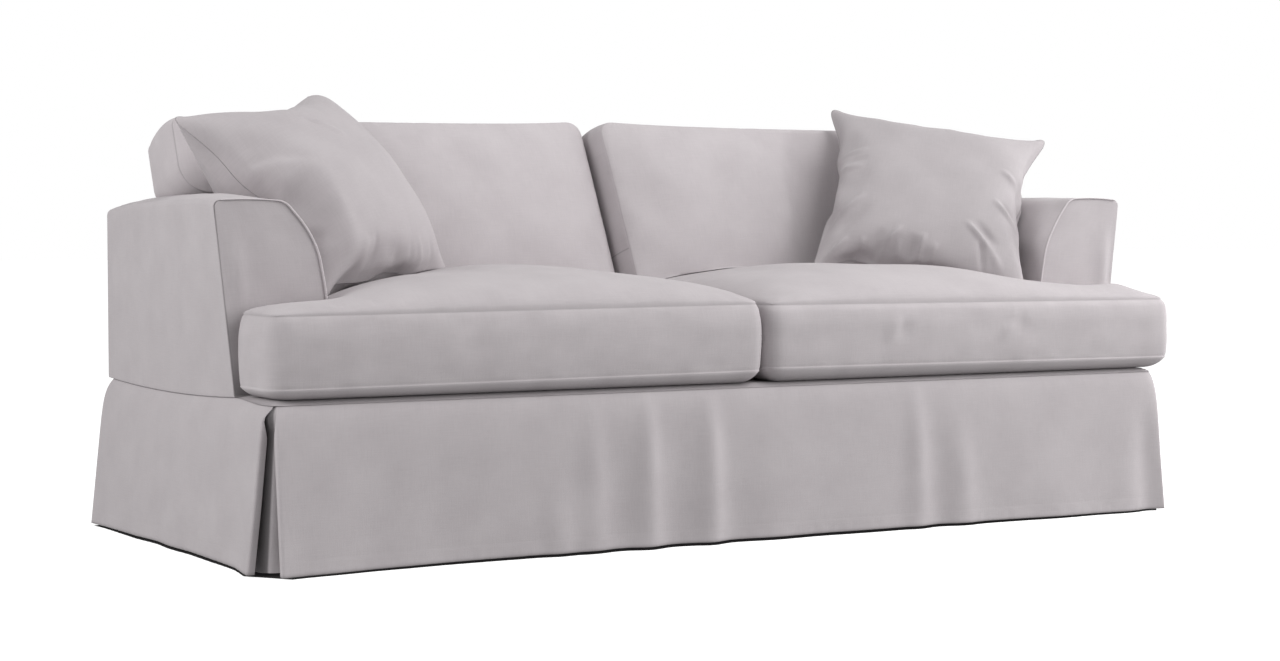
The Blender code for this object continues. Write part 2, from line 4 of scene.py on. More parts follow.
import bpy
import numpy as np
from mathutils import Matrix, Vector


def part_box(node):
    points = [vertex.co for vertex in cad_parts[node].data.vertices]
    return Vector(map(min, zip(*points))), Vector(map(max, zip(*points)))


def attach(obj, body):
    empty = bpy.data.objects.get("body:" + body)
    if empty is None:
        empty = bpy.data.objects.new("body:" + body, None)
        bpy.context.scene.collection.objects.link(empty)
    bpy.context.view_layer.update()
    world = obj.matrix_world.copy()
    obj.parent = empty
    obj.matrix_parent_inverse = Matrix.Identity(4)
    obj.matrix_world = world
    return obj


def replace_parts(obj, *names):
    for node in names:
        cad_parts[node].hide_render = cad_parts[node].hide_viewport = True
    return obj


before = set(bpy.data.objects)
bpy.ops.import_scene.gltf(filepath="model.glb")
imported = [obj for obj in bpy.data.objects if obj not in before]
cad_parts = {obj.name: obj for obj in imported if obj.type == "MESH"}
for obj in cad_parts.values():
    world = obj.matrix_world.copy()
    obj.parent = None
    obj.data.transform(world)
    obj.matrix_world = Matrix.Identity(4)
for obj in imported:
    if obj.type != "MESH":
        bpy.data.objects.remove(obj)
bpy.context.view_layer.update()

# Shapes are worked out with x along the sofa, y back from the front rail and z up from the floor.
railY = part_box("deck")[0].y
sofa = {
    "halfWidth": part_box("deck")[1].x,
    "armFront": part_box("arm_front_left")[0].y - railY,
    "back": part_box("outside_back")[1].y - railY,
    "deck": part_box("deck")[1].z,
    "skirtSeam": 0.308,
    "ledgeSeam": 0.302,
    "armHeight": 0.673,
    "cloth": 0.002,
    "gap": 0.0004,
}


def smoothStep(t):  # 3t^2 - 2t^3 between 0 and 1
    t = np.clip(t, 0.0, 1.0)
    return t * t * (3 - 2 * t)


def bell(t):  # exp(-t^2)
    return np.exp(-t * t)


def softMax(a, b, reach):  # the larger of two heights, rounded over reach where they meet
    return b + reach * np.logaddexp((a - b) / reach, 0.0)


def softMin(a, b, reach):
    return -softMax(-a, -b, reach)


def toEnd(t, length=1.0):  # distance to the nearer end
    return np.minimum(t, length - t)


def runAlong(points):  # length of a line in a plane up to each of its points
    return np.concatenate([[0], np.cumsum(np.hypot(*np.diff(points, axis=0).T))])


def gridOf(u, v):
    return np.meshgrid(u, v, indexing="ij")


# Smooth curve through values: cubics whose slope at each place is the mean slope beside it.
def spline(t, places, values):
    slope = np.gradient(values, places, axis=0)
    k = np.clip(np.searchsorted(places, t) - 1, 0, len(places) - 2)
    shape = np.shape(t) + (1,) * (np.ndim(values) - 1)
    width = (places[k + 1] - places[k]).reshape(shape)
    s = (t - places[k]).reshape(shape) / width
    return (values[k] * (1 + 2 * s) * (1 - s) ** 2 + values[k + 1] * s * s * (3 - 2 * s)
            + width * (slope[k] * s * (1 - s) ** 2 + slope[k + 1] * s * s * (s - 1)))


# Irregular soft height: twelve sine waves about size metres long, their ways and phases drawn from a seed.
def unevenness(p, q, size, depth, seed):
    draw = np.random.default_rng(seed)
    total = 0.0
    for way, phase, length in zip(draw.uniform(0, np.pi, 12), draw.uniform(0, 2 * np.pi, 12),
                                  size * draw.uniform(0.6, 1.7, 12)):
        total = total + np.sin(2 * np.pi * (p * np.cos(way) + q * np.sin(way)) / length + phase)
    return depth * total / 12 ** 0.5


# Creases laid one by one. A row gives two points, half width, depth and a bow sideways if there is one, in
# millimetres: a bell across, fading to its ends.
def creases(p, q, table):
    total = np.zeros(np.broadcast(p, q).shape)
    for row in table:
        startP, startQ, endP, endQ, width, depth, bow = np.array([*row, 0][:7]) / 1000
        length = np.hypot(endP - startP, endQ - startQ)
        alongP, alongQ = (endP - startP) / length, (endQ - startQ) / length
        share = np.clip(((p - startP) * alongP + (q - startQ) * alongQ) / length, 0, 1) * 2 - 1
        across = (q - startQ) * alongP - (p - startP) * alongQ - bow * (1 - share ** 2)
        total += depth * bell(across / width) * (1 - share ** 2) ** 1.5
    return total


# Places from start to end, a step apart in the middle and crowded at a seam.
seamSteps = np.array([0, 0.0011, 0.0024, 0.0040, 0.0062, 0.0095, 0.0145, 0.0220])


def placesBetween(start, end, step, seamAtStart=True, seamAtEnd=True):
    low = start + seamSteps if seamAtStart else np.array([start])
    high = end - seamSteps[::-1] if seamAtEnd else np.array([end])
    count = max(int(round((high[0] - low[-1]) / step)), 1)
    return np.concatenate([low, np.linspace(low[-1], high[0], count + 1)[1:-1], high])


def unit(vectors):
    return vectors / np.maximum(np.linalg.norm(vectors, axis=-1, keepdims=True), 1e-12)


def normalsOf(points):  # cross product of the grid's two directions
    return unit(np.cross(np.gradient(points, axis=0), np.gradient(points, axis=1)))


def mirrorTo(side, points):
    return points * (side, 1.0, 1.0)


def addObject(name, data):
    made = bpy.data.objects.new(name, data)
    bpy.context.scene.collection.objects.link(made)
    return made


def addMesh(name, points, faces, material=None):
    mesh = bpy.data.meshes.new(name)
    mesh.from_pydata(points, [], faces)
    if material:
        mesh.materials.append(material)
    return addObject(name, mesh)


# A material and its shader, with values put to the shader's sockets.
def makeMaterial(name, values):
    material = bpy.data.materials.new(name)
    material.use_nodes = True
    shader = material.node_tree.nodes["Principled BSDF"]
    for key, value in values.items():
        shader.inputs[key].default_value = value
    return material, shader


# One closed mesh in the frame, from quads and the cloth's own place at each corner, turned to face out, with a shade
# at each point that its colour is multiplied by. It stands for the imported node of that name.
def makePiece(node, points, quads, clothPlace, material, shade=None):
    a, b, c, d = (points[quads[:, k]] for k in range(4))
    if np.einsum("ij,ij->", a, np.cross(b, c)) + np.einsum("ij,ij->", a, np.cross(c, d)) < 0:
        quads, clothPlace = quads[:, ::-1], clothPlace[:, ::-1]
    used, quads = np.unique(quads, return_inverse=True)
    quads = quads.reshape(-1, 4)
    name = node[0] + node.title().replace("_", "")[1:] + ("" if "_" in node else "Cloth")
    piece = addMesh(name, (points[used] + (0.0, railY, 0.0)).tolist(), quads.tolist(), material)
    mesh = piece.data
    layer = mesh.uv_layers.new(name="cloth")
    layer.data.foreach_set("uv", np.ascontiguousarray(clothPlace, np.float32).ravel())
    shade = np.ones(len(points)) if shade is None else shade
    mesh.attributes.new("shade", "FLOAT", "POINT").data.foreach_set("value", shade[used].astype(np.float32))
    mesh.polygons.foreach_set("use_smooth", np.ones(len(quads), bool))
    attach(piece, "root")
    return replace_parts(piece, node)


def gridQuads(rows, columns):
    ids = np.arange(rows * columns).reshape(rows, columns)
    return np.stack([ids[:-1, :-1], ids[1:, :-1], ids[1:, 1:], ids[:-1, 1:]], -1).reshape(-1, 4)


def ringQuads(low, high):  # quads between two closed rows of points
    return np.stack([np.roll(low, -1), low, high, np.roll(high, -1)], 1)


def gridBorder(rows, columns):  # the grid's edge points, in order round it
    ids = np.arange(rows * columns).reshape(rows, columns)
    return np.concatenate([ids[:-1, 0], ids[-1, :-1], ids[:0:-1, -1], ids[0, :0:-1]])


def seamDark(distance):  # shade in the crease of a seam, 1 - 0.14 exp(-(distance / 1.5 mm)^2)
    return 1 - 0.14 * bell(distance / 0.0015)


def seamShade(u, v):  # seams on all four edges
    fromU, fromV = np.minimum(u - u[0, 0], u[-1, 0] - u), np.minimum(v - v[0, 0], v[0, -1] - v)
    return seamDark(np.minimum(fromU, fromV))


# Sheet of cloth on surface(u, v), with u and v in metres along it: an outer face, an inner face the cloth's
# thickness behind, and between them an edge rounded by two rows of points. side says which way is in, and
# shading(u, v) gives the shade.
def clothSheet(node, surface, u, v, side, shading=seamShade):
    inset, thickness = 0.0007, sofa["cloth"]
    insideU, insideV = (np.concatenate([[w[0] + inset], w[1:-1], [w[-1] - inset]]) for w in (u, v))
    face, edge = surface(*gridOf(insideU, insideV)), surface(*gridOf(u, v))
    faceIn, edgeIn = side * normalsOf(face), side * normalsOf(edge)
    border = gridBorder(len(u), len(v))
    count, around = len(u) * len(v), len(border)
    edge, edgeIn = edge.reshape(-1, 3)[border], edgeIn.reshape(-1, 3)[border]
    points = np.concatenate([face.reshape(-1, 3), (face + thickness * faceIn).reshape(-1, 3),
                             edge + 0.3 * thickness * edgeIn, edge + 0.7 * thickness * edgeIn])
    quads = gridQuads(len(u), len(v))
    place = np.stack(gridOf(u, v), -1).reshape(-1, 2)
    place = np.concatenate([place, place, place[border] + inset, place[border] + 2 * inset])
    rows = [border, 2 * count + np.arange(around), 2 * count + around + np.arange(around), count + border]
    quads = np.concatenate([quads, quads[:, ::-1] + count, *map(ringQuads, rows, rows[1:])])
    shade = shading(*gridOf(u, v)).ravel()
    shade = np.concatenate([shade, shade, shade[border], shade[border]])
    return makePiece(node, points, quads, place[quads], coverCloth, shade)


def keptCells(keep):  # number of kept cells at each grid point
    padded = np.pad(keep.astype(int), 1)
    return padded[1:, 1:] + padded[:-1, 1:] + padded[1:, :-1] + padded[:-1, :-1]


# Edge points of the kept cells, in order of their direction from a heart that sees them all.
def edgeRing(u, v, keep, heart):
    cells = keptCells(keep)
    ids = np.flatnonzero((cells > 0) & (cells < 4))
    return ids[np.argsort(np.arctan2(v.ravel()[ids] - heart[1], u.ravel()[ids] - heart[0]))]


# Closed piece from a front and a back grid over the kept cells, joined round their edge by rows of points. Cloth
# places are the grid's own on the faces, and the way round and the way across on the edge.
def layeredPiece(node, front, back, keep, ring, sides, u, v, material, shade=None):
    size, around = u.size, len(ring)
    points = np.concatenate([front.reshape(-1, 3), back.reshape(-1, 3), sides.reshape(-1, 3)])
    faces = gridQuads(*u.shape)[keep.ravel()]
    place = np.stack([u, v], -1).reshape(-1, 2)[faces]
    rows = [ring, *(2 * size + k * around + np.arange(around) for k in range(len(sides))), ring + size]
    line = points[np.stack(rows)]
    run = np.concatenate([[0], np.cumsum(np.linalg.norm(np.roll(line[0], -1, 0) - line[0], axis=1))])
    down = np.concatenate([[0], np.cumsum(np.linalg.norm(np.diff(line, axis=0), axis=2).mean(1))])
    strips, stripPlace = list(map(ringQuads, rows, rows[1:])), []
    for low, high in zip(down, down[1:]):
        corners = [(run[1:], low), (run[:-1], low), (run[:-1], high), (run[1:], high)]
        stripPlace.append(np.stack([np.stack([a, np.full(around, b)], -1) for a, b in corners], 1))
    # the strips' turn is set by the front face beside them
    first = faces[(faces == ring[0]).any(1) & (faces == ring[1]).any(1)][0].tolist()
    turn = 1 if first[(first.index(ring[0]) + 1) % 4] == ring[1] else -1
    quads = np.concatenate([faces, faces[:, ::-1] + size, *(strip[:, ::turn] for strip in strips)])
    place = np.concatenate([place, place[:, ::-1], *(strip[:, ::turn] for strip in stripPlace)])
    return makePiece(node, points, quads, place, material, shade)


# A shader socket that Python's operators work on: each operator adds its Math node.
class Wire:
    def __init__(self, tree, socket=None):
        self.tree, self.socket = tree, socket

    # A node of a type, its settings made first, then values or wires put to its sockets.
    def node(self, kind, settings=None, sockets=None, output=0):
        made = self.tree.nodes.new(kind)
        for key, value in (settings or {}).items():
            setattr(made, key, value)
        for key, value in (sockets or {}).items():
            if isinstance(value, Wire):
                value.to(made.inputs[key])
            else:
                made.inputs[key].default_value = value
        return Wire(self.tree, made.outputs[output])

    def to(self, target):
        self.tree.links.new(self.socket, target)

    def maths(self, operation, other=0.0):
        return self.node("ShaderNodeMath", {"operation": operation}, {0: self, 1: other})

    def held(self):  # between 0 and 1
        return self.maths("MINIMUM", 1.0).maths("MAXIMUM", 0.0)

    def __add__(self, other): return self.maths("ADD", other)
    def __radd__(self, other): return self.maths("ADD", other)
    def __sub__(self, other): return self.maths("SUBTRACT", other)
    def __mul__(self, other): return self.maths("MULTIPLY", other)
    def __abs__(self): return self.maths("ABSOLUTE")


weave = {
    "colour": (0.520, 0.484, 0.497),
    "shadeColour": (0.455, 0.420, 0.434),
    "thread": 0.0016,       # from one thread to the next
    "slubLength": 0.035,
    "mottleSize": 0.09,
    "waver": 140.0,         # scale of the noise that bends the threads
    "speckle": 420.0,       # and of the finest spots
    "roughness": 0.90,
}


# Plain weave on the piece's own cloth places: threads are the larger of two rows of sine bulges, each over the
# other in turn; slubs are noise drawn out along the threads; mottle is soft noise in the dye.
def clothMaterial(name, paintedLightness=1.0, turn=0.0):
    material, shader = makeMaterial(name, {"Specular IOR Level": 0.25, "Sheen Weight": 0.12, "Sheen Roughness": 0.5})
    start = Wire(material.node_tree)
    place = start.node("ShaderNodeUVMap", {"uv_map": "cloth"})
    if turn:
        place = start.node("ShaderNodeMapping", None, {0: place, "Rotation": (0, 0, turn)})
    wander = start.node("ShaderNodeTexNoise", None, {"Vector": place, "Scale": weave["waver"], "Detail": 2.0})
    axes = start.node("ShaderNodeSeparateXYZ", None, {0: place})
    u, v = axes, Wire(start.tree, axes.socket.node.outputs[1])
    drift = (wander - 0.5) * 0.9
    acrossU, acrossV = ((way * (np.pi / weave["thread"]) + drift).maths("SINE") for way in (u, v))
    over = (acrossU * acrossV * 3.0 + 0.5).held()
    bulge = abs(acrossV) + (abs(acrossU) - abs(acrossV)) * over

    def drawnOut(alongU, alongV, detail):
        stretched = start.node("ShaderNodeCombineXYZ", None, {0: u * alongU, 1: v * alongV})
        return start.node("ShaderNodeTexNoise", None, {"Vector": stretched, "Scale": 1.0, "Detail": detail})

    def mixed(tone, one, other, blend="MIX"):
        settings = {"data_type": "RGBA", "blend_type": blend}
        return start.node("ShaderNodeMix", settings, {0: tone, 6: one, 7: other}, 2)

    long, thin, wide = 1 / weave["slubLength"], 0.7 / weave["thread"], 1 / weave["mottleSize"]
    slubs = drawnOut(long, thin, 2.0) * 0.5 + drawnOut(thin, long, 2.0) * 0.5
    mottle, speckle = drawnOut(wide, wide, 4.0), drawnOut(weave["speckle"], weave["speckle"], 1.0)
    tone = (slubs - 0.5) * 1.5 + (mottle - 0.5) * 1.5 + (speckle - 0.5) * 0.35 + 0.62
    # painted shade between the threads: the weave's low places a little darker
    tone = (tone + (bulge - 0.6) * 0.25).held()
    colour = mixed(tone, *((*(paintedLightness * x for x in weave[key]), 1) for key in ("shadeColour", "colour")))
    shade = start.node("ShaderNodeAttribute", {"attribute_name": "shade"}, None, 2)
    height = bulge * 0.6 + (slubs - 0.5) * 1.6 + (speckle - 0.5) * 0.5
    bump = start.node("ShaderNodeBump", None, {"Strength": 0.35, "Distance": 0.0005, "Height": height})
    mixed(1.0, colour, shade, "MULTIPLY").to(shader.inputs["Base Color"])
    (weave["roughness"] + (slubs - 0.5) * 0.2).to(shader.inputs["Roughness"])
    bump.to(shader.inputs["Normal"])
    return material


# Lit and shaded copies of one cloth: the second value paints the welt lighter as a highlight, the cushions a touch
# lighter and the pillows a touch darker, for how the light falls on them.
coverCloth = clothMaterial("coverCloth")
cushionCloth = clothMaterial("cushionCloth", 1.01)
pillowCloth = clothMaterial("pillowCloth", 0.97)
weltCloth = clothMaterial("weltCloth", 1.26, np.pi / 4)
print("cloth ready")


arm = {
    "flare": 0.0398,    # how far the outer side leans out at its front top; none at the back
    "corner": 0.011,
    "sag": 0.0095,      # of the seam between the side and its skirt
    "sideLength": 0.347, "cornerLength": 0.028, "topLength": 0.122,   # along the outline
    "welt": 0.0020,     # its radius
    # in millimetres: distance back, then height at the outer edge, the crown and the inner edge
    "top": {-1.0: [(171.7, 670, 671.5, 668), (250, 674, 679, 668), (400, 673.2, 683, 667), (600, 669, 679.7, 667)],
            1.0: [(171.7, 674.5, 678.5, 676.5), (250, 675, 679.5, 675.5), (400, 673.5, 680.5, 671),
                  (600, 669, 679, 667)]},
    "topEnd": [(750, 663, 674, 667), (820, 659, 668.5, 666), (869.9, 653.5, 657, 656)],
    # inner side and the line where the inside back meets it: height, half width inside, distance back
    "inner": np.array([
        (667, 937.5, 869.9), (666.7, 936, 835), (662, 932, 812), (649, 920, 797), (630, 903, 787.3),
        (606, 886, 777.6), (574, 871, 764.7), (539, 863, 750.5), (482, 854, 727.5), (400, 851.5, 694.4),
        (310.6, 850, 658.2)]) / 1000,
}
armTop = {side: np.array(rows + arm["topEnd"]) / 1000 for side, rows in arm["top"].items()}
innerRun = runAlong(arm["inner"][:, :2])
# where the outline's four parts end
armBreaks = np.cumsum([arm["sideLength"], arm["cornerLength"], arm["topLength"], innerRun[-1]])


def sideSeam(y):  # height of the seam over a side skirt, a parabola
    share = np.clip((y - sofa["armFront"]) / (sofa["back"] - sofa["armFront"]), 0, 1)
    return sofa["skirtSeam"] - 4 * arm["sag"] * share * (1 - share)


# Outline of an arm, its bend into the inner curve eased by the mean of five places.
def armOutline(y, v, side):
    reach = 0.006 * bell((v - armBreaks[2]) / 0.03)
    return sum(np.stack(sharpOutline(y, v + k * reach, side)) for k in (-2, -1, 0, 1, 2)) / 5


# Outline of an arm at distance y back and v metres up it from the skirt seam, as x and z: the leaning outer side,
# a quarter round, the top as a parabola between its edges, then the inner curve.
def sharpOutline(y, v, side):
    top = armTop[side]
    outer, crown, inner = (spline(y, top[:, 0], top[:, k]) for k in (1, 2, 3))
    flare = arm["flare"] * (sofa["back"] - y) / (sofa["back"] - sofa["armFront"])
    seam, corner = sideSeam(y) + sofa["gap"], arm["corner"]
    sideZ = seam + (outer - corner - seam) * np.clip(v / armBreaks[0], 0, 1)
    sideX = sofa["halfWidth"] + flare * (sideZ - sofa["skirtSeam"]) / (sofa["armHeight"] - sofa["skirtSeam"])
    turn = np.pi / 2 * np.clip((v - armBreaks[0]) / arm["cornerLength"], 0, 1)
    cornerX, cornerZ = sideX + corner * (np.cos(turn) - 1), sideZ + corner * np.sin(turn)
    across = np.clip((v - armBreaks[1]) / arm["topLength"], 0, 1)
    topX = cornerX + (arm["inner"][0, 1] - cornerX) * across
    topZ = outer + (inner - outer) * across + 4 * (crown - (outer + inner) / 2) * across * (1 - across)
    run = np.clip(v - armBreaks[2], 0, innerRun[-1])
    innerX, innerZ = (spline(run, innerRun, arm["inner"][:, k]) for k in (1, 0))
    innerZ = innerZ + (inner - arm["inner"][0, 0]) * smoothStep((innerZ - 0.6) / 0.06)
    x = np.where(v <= armBreaks[1], cornerX, np.where(v <= armBreaks[2], topX, innerX))
    z = np.where(v <= armBreaks[1], cornerZ, np.where(v <= armBreaks[2], topZ, innerZ))
    return x, z


# Cloth over an arm: u runs back along it, v over its outline, and below the top its far edge follows the inside back.
def armWrap(hand, side):
    start = sofa["armFront"] + sofa["cloth"] + sofa["gap"]
    length = sofa["back"] - start

    def surface(u, v):
        run = v - armBreaks[2]
        end = np.where(run > 0, np.interp(run, innerRun, arm["inner"][:, 2]) + sofa["cloth"],
                       sofa["back"] - sofa["cloth"] - sofa["gap"])
        y = start + u / length * (end - start)
        x, z = armOutline(y, v, side)
        away = smoothStep(toEnd(u, length) / 0.05)
        onSide = smoothStep((armBreaks[0] - v) / 0.05) * smoothStep(v / 0.03)
        onTop = (v > armBreaks[1]) * (v < armBreaks[2])
        x = x + onSide * away * unevenness(u, v, 0.34, 0.0016, 3 if side < 0 else 4)
        z = z + onTop * away * unevenness(u, v, 0.16, 0.0008, 5)
        x = x - 0.0006 * (bell(u / 0.003) * onSide + bell(v / 0.003))
        return mirrorTo(side, np.stack([x, y, z], -1))

    v = np.concatenate([placesBetween(0, armBreaks[0], 0.016, True, False),
                        np.linspace(armBreaks[0], armBreaks[1], 7)[1:],
                        np.linspace(armBreaks[1], armBreaks[2], 19)[1:],
                        placesBetween(armBreaks[2], armBreaks[3], 0.009, False, True)[1:]])

    def shading(u, v):  # painted shade in the seams, painted light inside near the front
        inside = smoothStep((v - armBreaks[2] - 0.01) / 0.05)
        return seamDark(np.minimum(toEnd(u, length), toEnd(v, armBreaks[3]))) + 0.20 * inside * bell(u / 0.09)

    piece = clothSheet(f"arm_wrap_{hand}", surface, placesBetween(0, length, 0.016), v, side, shading)


# Front of an arm: a patch between four edges, each point the sum of what the side edges and the bottom and top
# edges give, less what the corners give twice.
def armFront(hand, side):
    bottom = sofa["deck"] + sofa["gap"]
    sideStart, sideEnd = bottom - sofa["skirtSeam"], armBreaks[0] + arm["cornerLength"] / 2
    front, width, height = sofa["armFront"], 0.205, 0.36

    def surface(u, v):
        across, up = u / width, v / height
        sideX, sideZ = armOutline(front, sideStart + up * (sideEnd - sideStart), side)
        innerX, innerZ = armOutline(front, armBreaks[3] - up * innerRun[-1], side)
        topX, topZ = armOutline(front, sideEnd + across * (armBreaks[2] - sideEnd), side)
        (startX, endX), (startZ, endZ) = armOutline(front, np.array([sideEnd, armBreaks[2]]), side)
        x = sideX + (innerX - sideX) * across + up * (topX - startX - (endX - startX) * across)
        z = sideZ + (innerZ - sideZ) * across + up * (topZ - startZ - (endZ - startZ) * across)
        middle = smoothStep(toEnd(across) / 0.3) * smoothStep((1 - up) / 0.2)
        fold = creases(x, z, armFrontCreases)
        edge = 0.5 * bell(across / 0.02) + bell((1 - across) / 0.02) + 0.3 * bell((1 - up) / 0.006)
        y = front - 0.0018 * middle - fold - middle * unevenness(u, v, 0.12, 0.0009, 8) + 0.0008 * edge
        return mirrorTo(side, np.stack([x, y, z], -1))

    def shading(u, v):  # painted shade at the seams and low down behind the seat cushion
        seams = 0.32 * bell(u / 0.0010) + 0.05 * bell((width - u) / 0.0015)
        # painted light: the whole panel a touch lighter
        return 1.02 * (1 - seams) * (1 - 0.30 * smoothStep((0.17 - v) / 0.05) - 0.25 * smoothStep((0.08 - v) / 0.08))

    piece = clothSheet(f"arm_front_{hand}", surface, placesBetween(0, width, 0.008),
                       placesBetween(0, height, 0.008), side, shading)


armFrontCreases = [(1022, 420, 1042, 630, 14, 5.2, 3), (1044, 420, 1062, 630, 10, -1.4, 3),
                   (985, 460, 995, 640, 24, -1.4)]


# Round cord over the front edge of an arm: at each point of the path a circle square to it, shrinking at the ends.
def armWelt(hand, side):
    radius, reach = arm["welt"], 0.72 * (arm["welt"] + sofa["gap"])
    end = armBreaks[2] + np.interp(-0.482, -arm["inner"][:, 0], innerRun)
    path = np.stack(armOutline(sofa["armFront"], np.linspace(armBreaks[1], end, 130), side), 1)
    along = unit(np.gradient(path, axis=0))
    outwards = np.stack([along[:, 1], -along[:, 0]], 1)
    path = path + reach * outwards
    run = runAlong(path)
    size = radius * np.sqrt(np.clip(1 - (1 - np.clip(toEnd(run, run[-1]) / (2 * radius), 0, 1)) ** 2, 0.02, 1))
    size = size * (0.55 + 0.45 * smoothStep((run - 0.8 * arm["topLength"]) / 0.04))
    around = np.linspace(0, 2 * np.pi, 17)[:-1]
    rings = np.empty((len(path), len(around), 3))
    rings[..., 0::2] = path[:, None] + size[:, None, None] * np.cos(around)[None, :, None] * outwards[:, None]
    rings[..., 1] = sofa["armFront"] - reach + size[:, None] * np.sin(around)
    ids = np.arange(rings[..., 0].size).reshape(rings.shape[:2])
    after = np.roll(ids, -1, axis=1)
    quads = np.stack([ids[:-1], after[:-1], after[1:], ids[1:]], -1).reshape(-1, 4)
    place = np.stack(np.broadcast_arrays(run[:, None], np.arange(17) * radius * np.pi / 8), -1)
    corner = np.stack([place[:-1, :-1], place[:-1, 1:], place[1:, 1:], place[1:, :-1]], 2).reshape(-1, 4, 2)
    fan = np.array([(0, k, k + 1, k + 2) for k in range(1, 14, 2)])
    caps = np.concatenate([ids[0][fan][:, ::-1], ids[-1][fan]])
    makePiece(f"arm_welt_{hand}", mirrorTo(side, rings).reshape(-1, 3), np.concatenate([quads, caps]),
              np.concatenate([corner, np.zeros((len(caps), 4, 2))]), weltCloth)


for hand, side in (("left", -1.0), ("right", 1.0)):
    armWrap(hand, side)
    armFront(hand, side)
    armWelt(hand, side)
print("arms made")


backEdge = {"rise": 0.012, "ends": 0.6560}


def backTop(x):  # rise of the back's top edge over its ends, a parabola
    return backEdge["rise"] * (1 - np.clip(np.abs(x) / arm["inner"][0, 1], 0, 1) ** 2)


# Inside back: u across it, v up the line where it meets the arms, its width that line's.
def insideBack():
    line = np.insert(arm["inner"][::-1], -1, (0.6640, 0.9375, 0.8530), axis=0)
    line[0, 0] = sofa["deck"] + sofa["gap"]
    line[-1, [0, 2]] = backEdge["ends"], sofa["back"] - sofa["cloth"] - sofa["gap"]
    run = runAlong(line[:, [0, 2]])
    half = arm["inner"][0, 1]

    def surface(u, v):
        z, width, y = (np.interp(v, run, line[:, k]) for k in range(3))
        x = (width - 2 * sofa["gap"]) * u / half
        z = z + backTop(x) * smoothStep((z - 0.60) / 0.06)
        return np.stack([x, y, z], -1)

    piece = clothSheet("inside_back", surface, placesBetween(-half, half, 0.03), placesBetween(0, run[-1], 0.01), 1.0)


# Outside back: u is x, v the share of the height between the skirt seam and the top edge.
def outsideBack():
    half, corner, height = sofa["halfWidth"], arm["corner"], 0.36
    outer, crown, inner = armTop[-1.0][-1, 1:]
    start = sofa["skirtSeam"] + sofa["gap"]

    def surface(u, v):
        away = np.abs(u)
        across = np.clip((half - corner - away) / (half - corner - arm["inner"][0, 1]), 0, 1)
        level = outer + (inner - outer) * across + 4 * (crown - (outer + inner) / 2) * across * (1 - across)
        past = np.clip((away - half + corner) / corner, 0, 1)
        top = level - corner * (1 - np.sqrt(1 - past ** 2)) + backTop(u)
        z = start + v / height * (top - start)
        inside = smoothStep(toEnd(v, height) / 0.05) * smoothStep((half - away) / 0.06)
        y = sofa["back"] + inside * unevenness(u, v, 0.4, 0.0014, 21) - 0.0008 * bell(v / 0.004)
        return np.stack([u, y, z], -1)

    piece = clothSheet("outside_back", surface, placesBetween(-half, half, 0.018), placesBetween(0, height, 0.014),
                       -1.0)


# Plan points with corners rounded, each given as its place, the way it points and its radius: within the corner
# x' = x sqrt(1 - y^2 / 2) and the same for y, which maps a square to a disc.
def rounded(x, y, corners):
    for cornerX, cornerY, wayX, wayY, radius in corners:
        a, b = wayX * (x - cornerX) / radius + 1, wayY * (y - cornerY) / radius + 1
        near = (a > 0) & (b > 0) & (a <= 1.0001) & (b <= 1.0001)
        a, b = np.clip(a, 0, 1), np.clip(b, 0, 1)
        newX = cornerX + wayX * radius * (a * np.sqrt(1 - b * b / 2) - 1)
        newY = cornerY + wayY * radius * (b * np.sqrt(1 - a * a / 2) - 1)
        x, y = np.where(near, newX, x), np.where(near, newY, y)
    return x, y


def ledgeHeight(y):  # the skirt seam's height beside the front ledge
    return sofa["ledgeSeam"] + (sofa["skirtSeam"] - sofa["ledgeSeam"]) * smoothStep((y - 0.05) / 0.11)


# Deck: a T of cloth on the frame's platform, its front ledge falling over a round edge to the skirt seam.
def deck():
    half, inner = sofa["halfWidth"], arm["inner"][-1, 1] - sofa["gap"]
    ledgeBack, seatBack = sofa["armFront"] - sofa["gap"], arm["inner"][-1, 2] - 0.0006
    right = np.concatenate([placesBetween(0, inner, 0.03, False, False),
                            placesBetween(inner, half, 0.012, False, True)[1:]])
    x = np.concatenate([-right[:0:-1], right])
    y = np.concatenate([placesBetween(0, ledgeBack, 0.009, True, False),
                        placesBetween(ledgeBack, seatBack, 0.03, False, False)[1:]])
    x, y = gridOf(x, y)
    keep = (np.abs(x[1:, 1:] + x[:-1, 1:]) / 2 < inner) | (y[:-1, 1:] < ledgeBack)
    fall = smoothStep(1 - np.minimum(half - np.abs(x), y) / 0.03) ** 1.5
    z = sofa["deck"] - fall * (sofa["deck"] - ledgeHeight(y))
    planX, planY = rounded(x, y, [(half, 0, 1, -1, 0.03), (-half, 0, -1, -1, 0.03)])
    nearSide = smoothStep(1 - (half - np.abs(x)) / 0.012) * (y < ledgeBack)
    nearFront = smoothStep(1 - y / 0.012)
    under = z - sofa["cloth"] * (1 - np.maximum(nearSide, nearFront))
    inX, inY = planX - np.sign(x) * sofa["cloth"] * nearSide, planY + sofa["cloth"] * nearFront
    ring = edgeRing(x, y, keep, (0, 0.08))
    piece = layeredPiece("deck", np.stack([planX, planY, z], -1), np.stack([inX, inY, under], -1), keep, ring,
                         np.empty((0, len(ring), 3)), x, y, coverCloth)


insideBack()
outsideBack()
deck()
print("back and deck made")


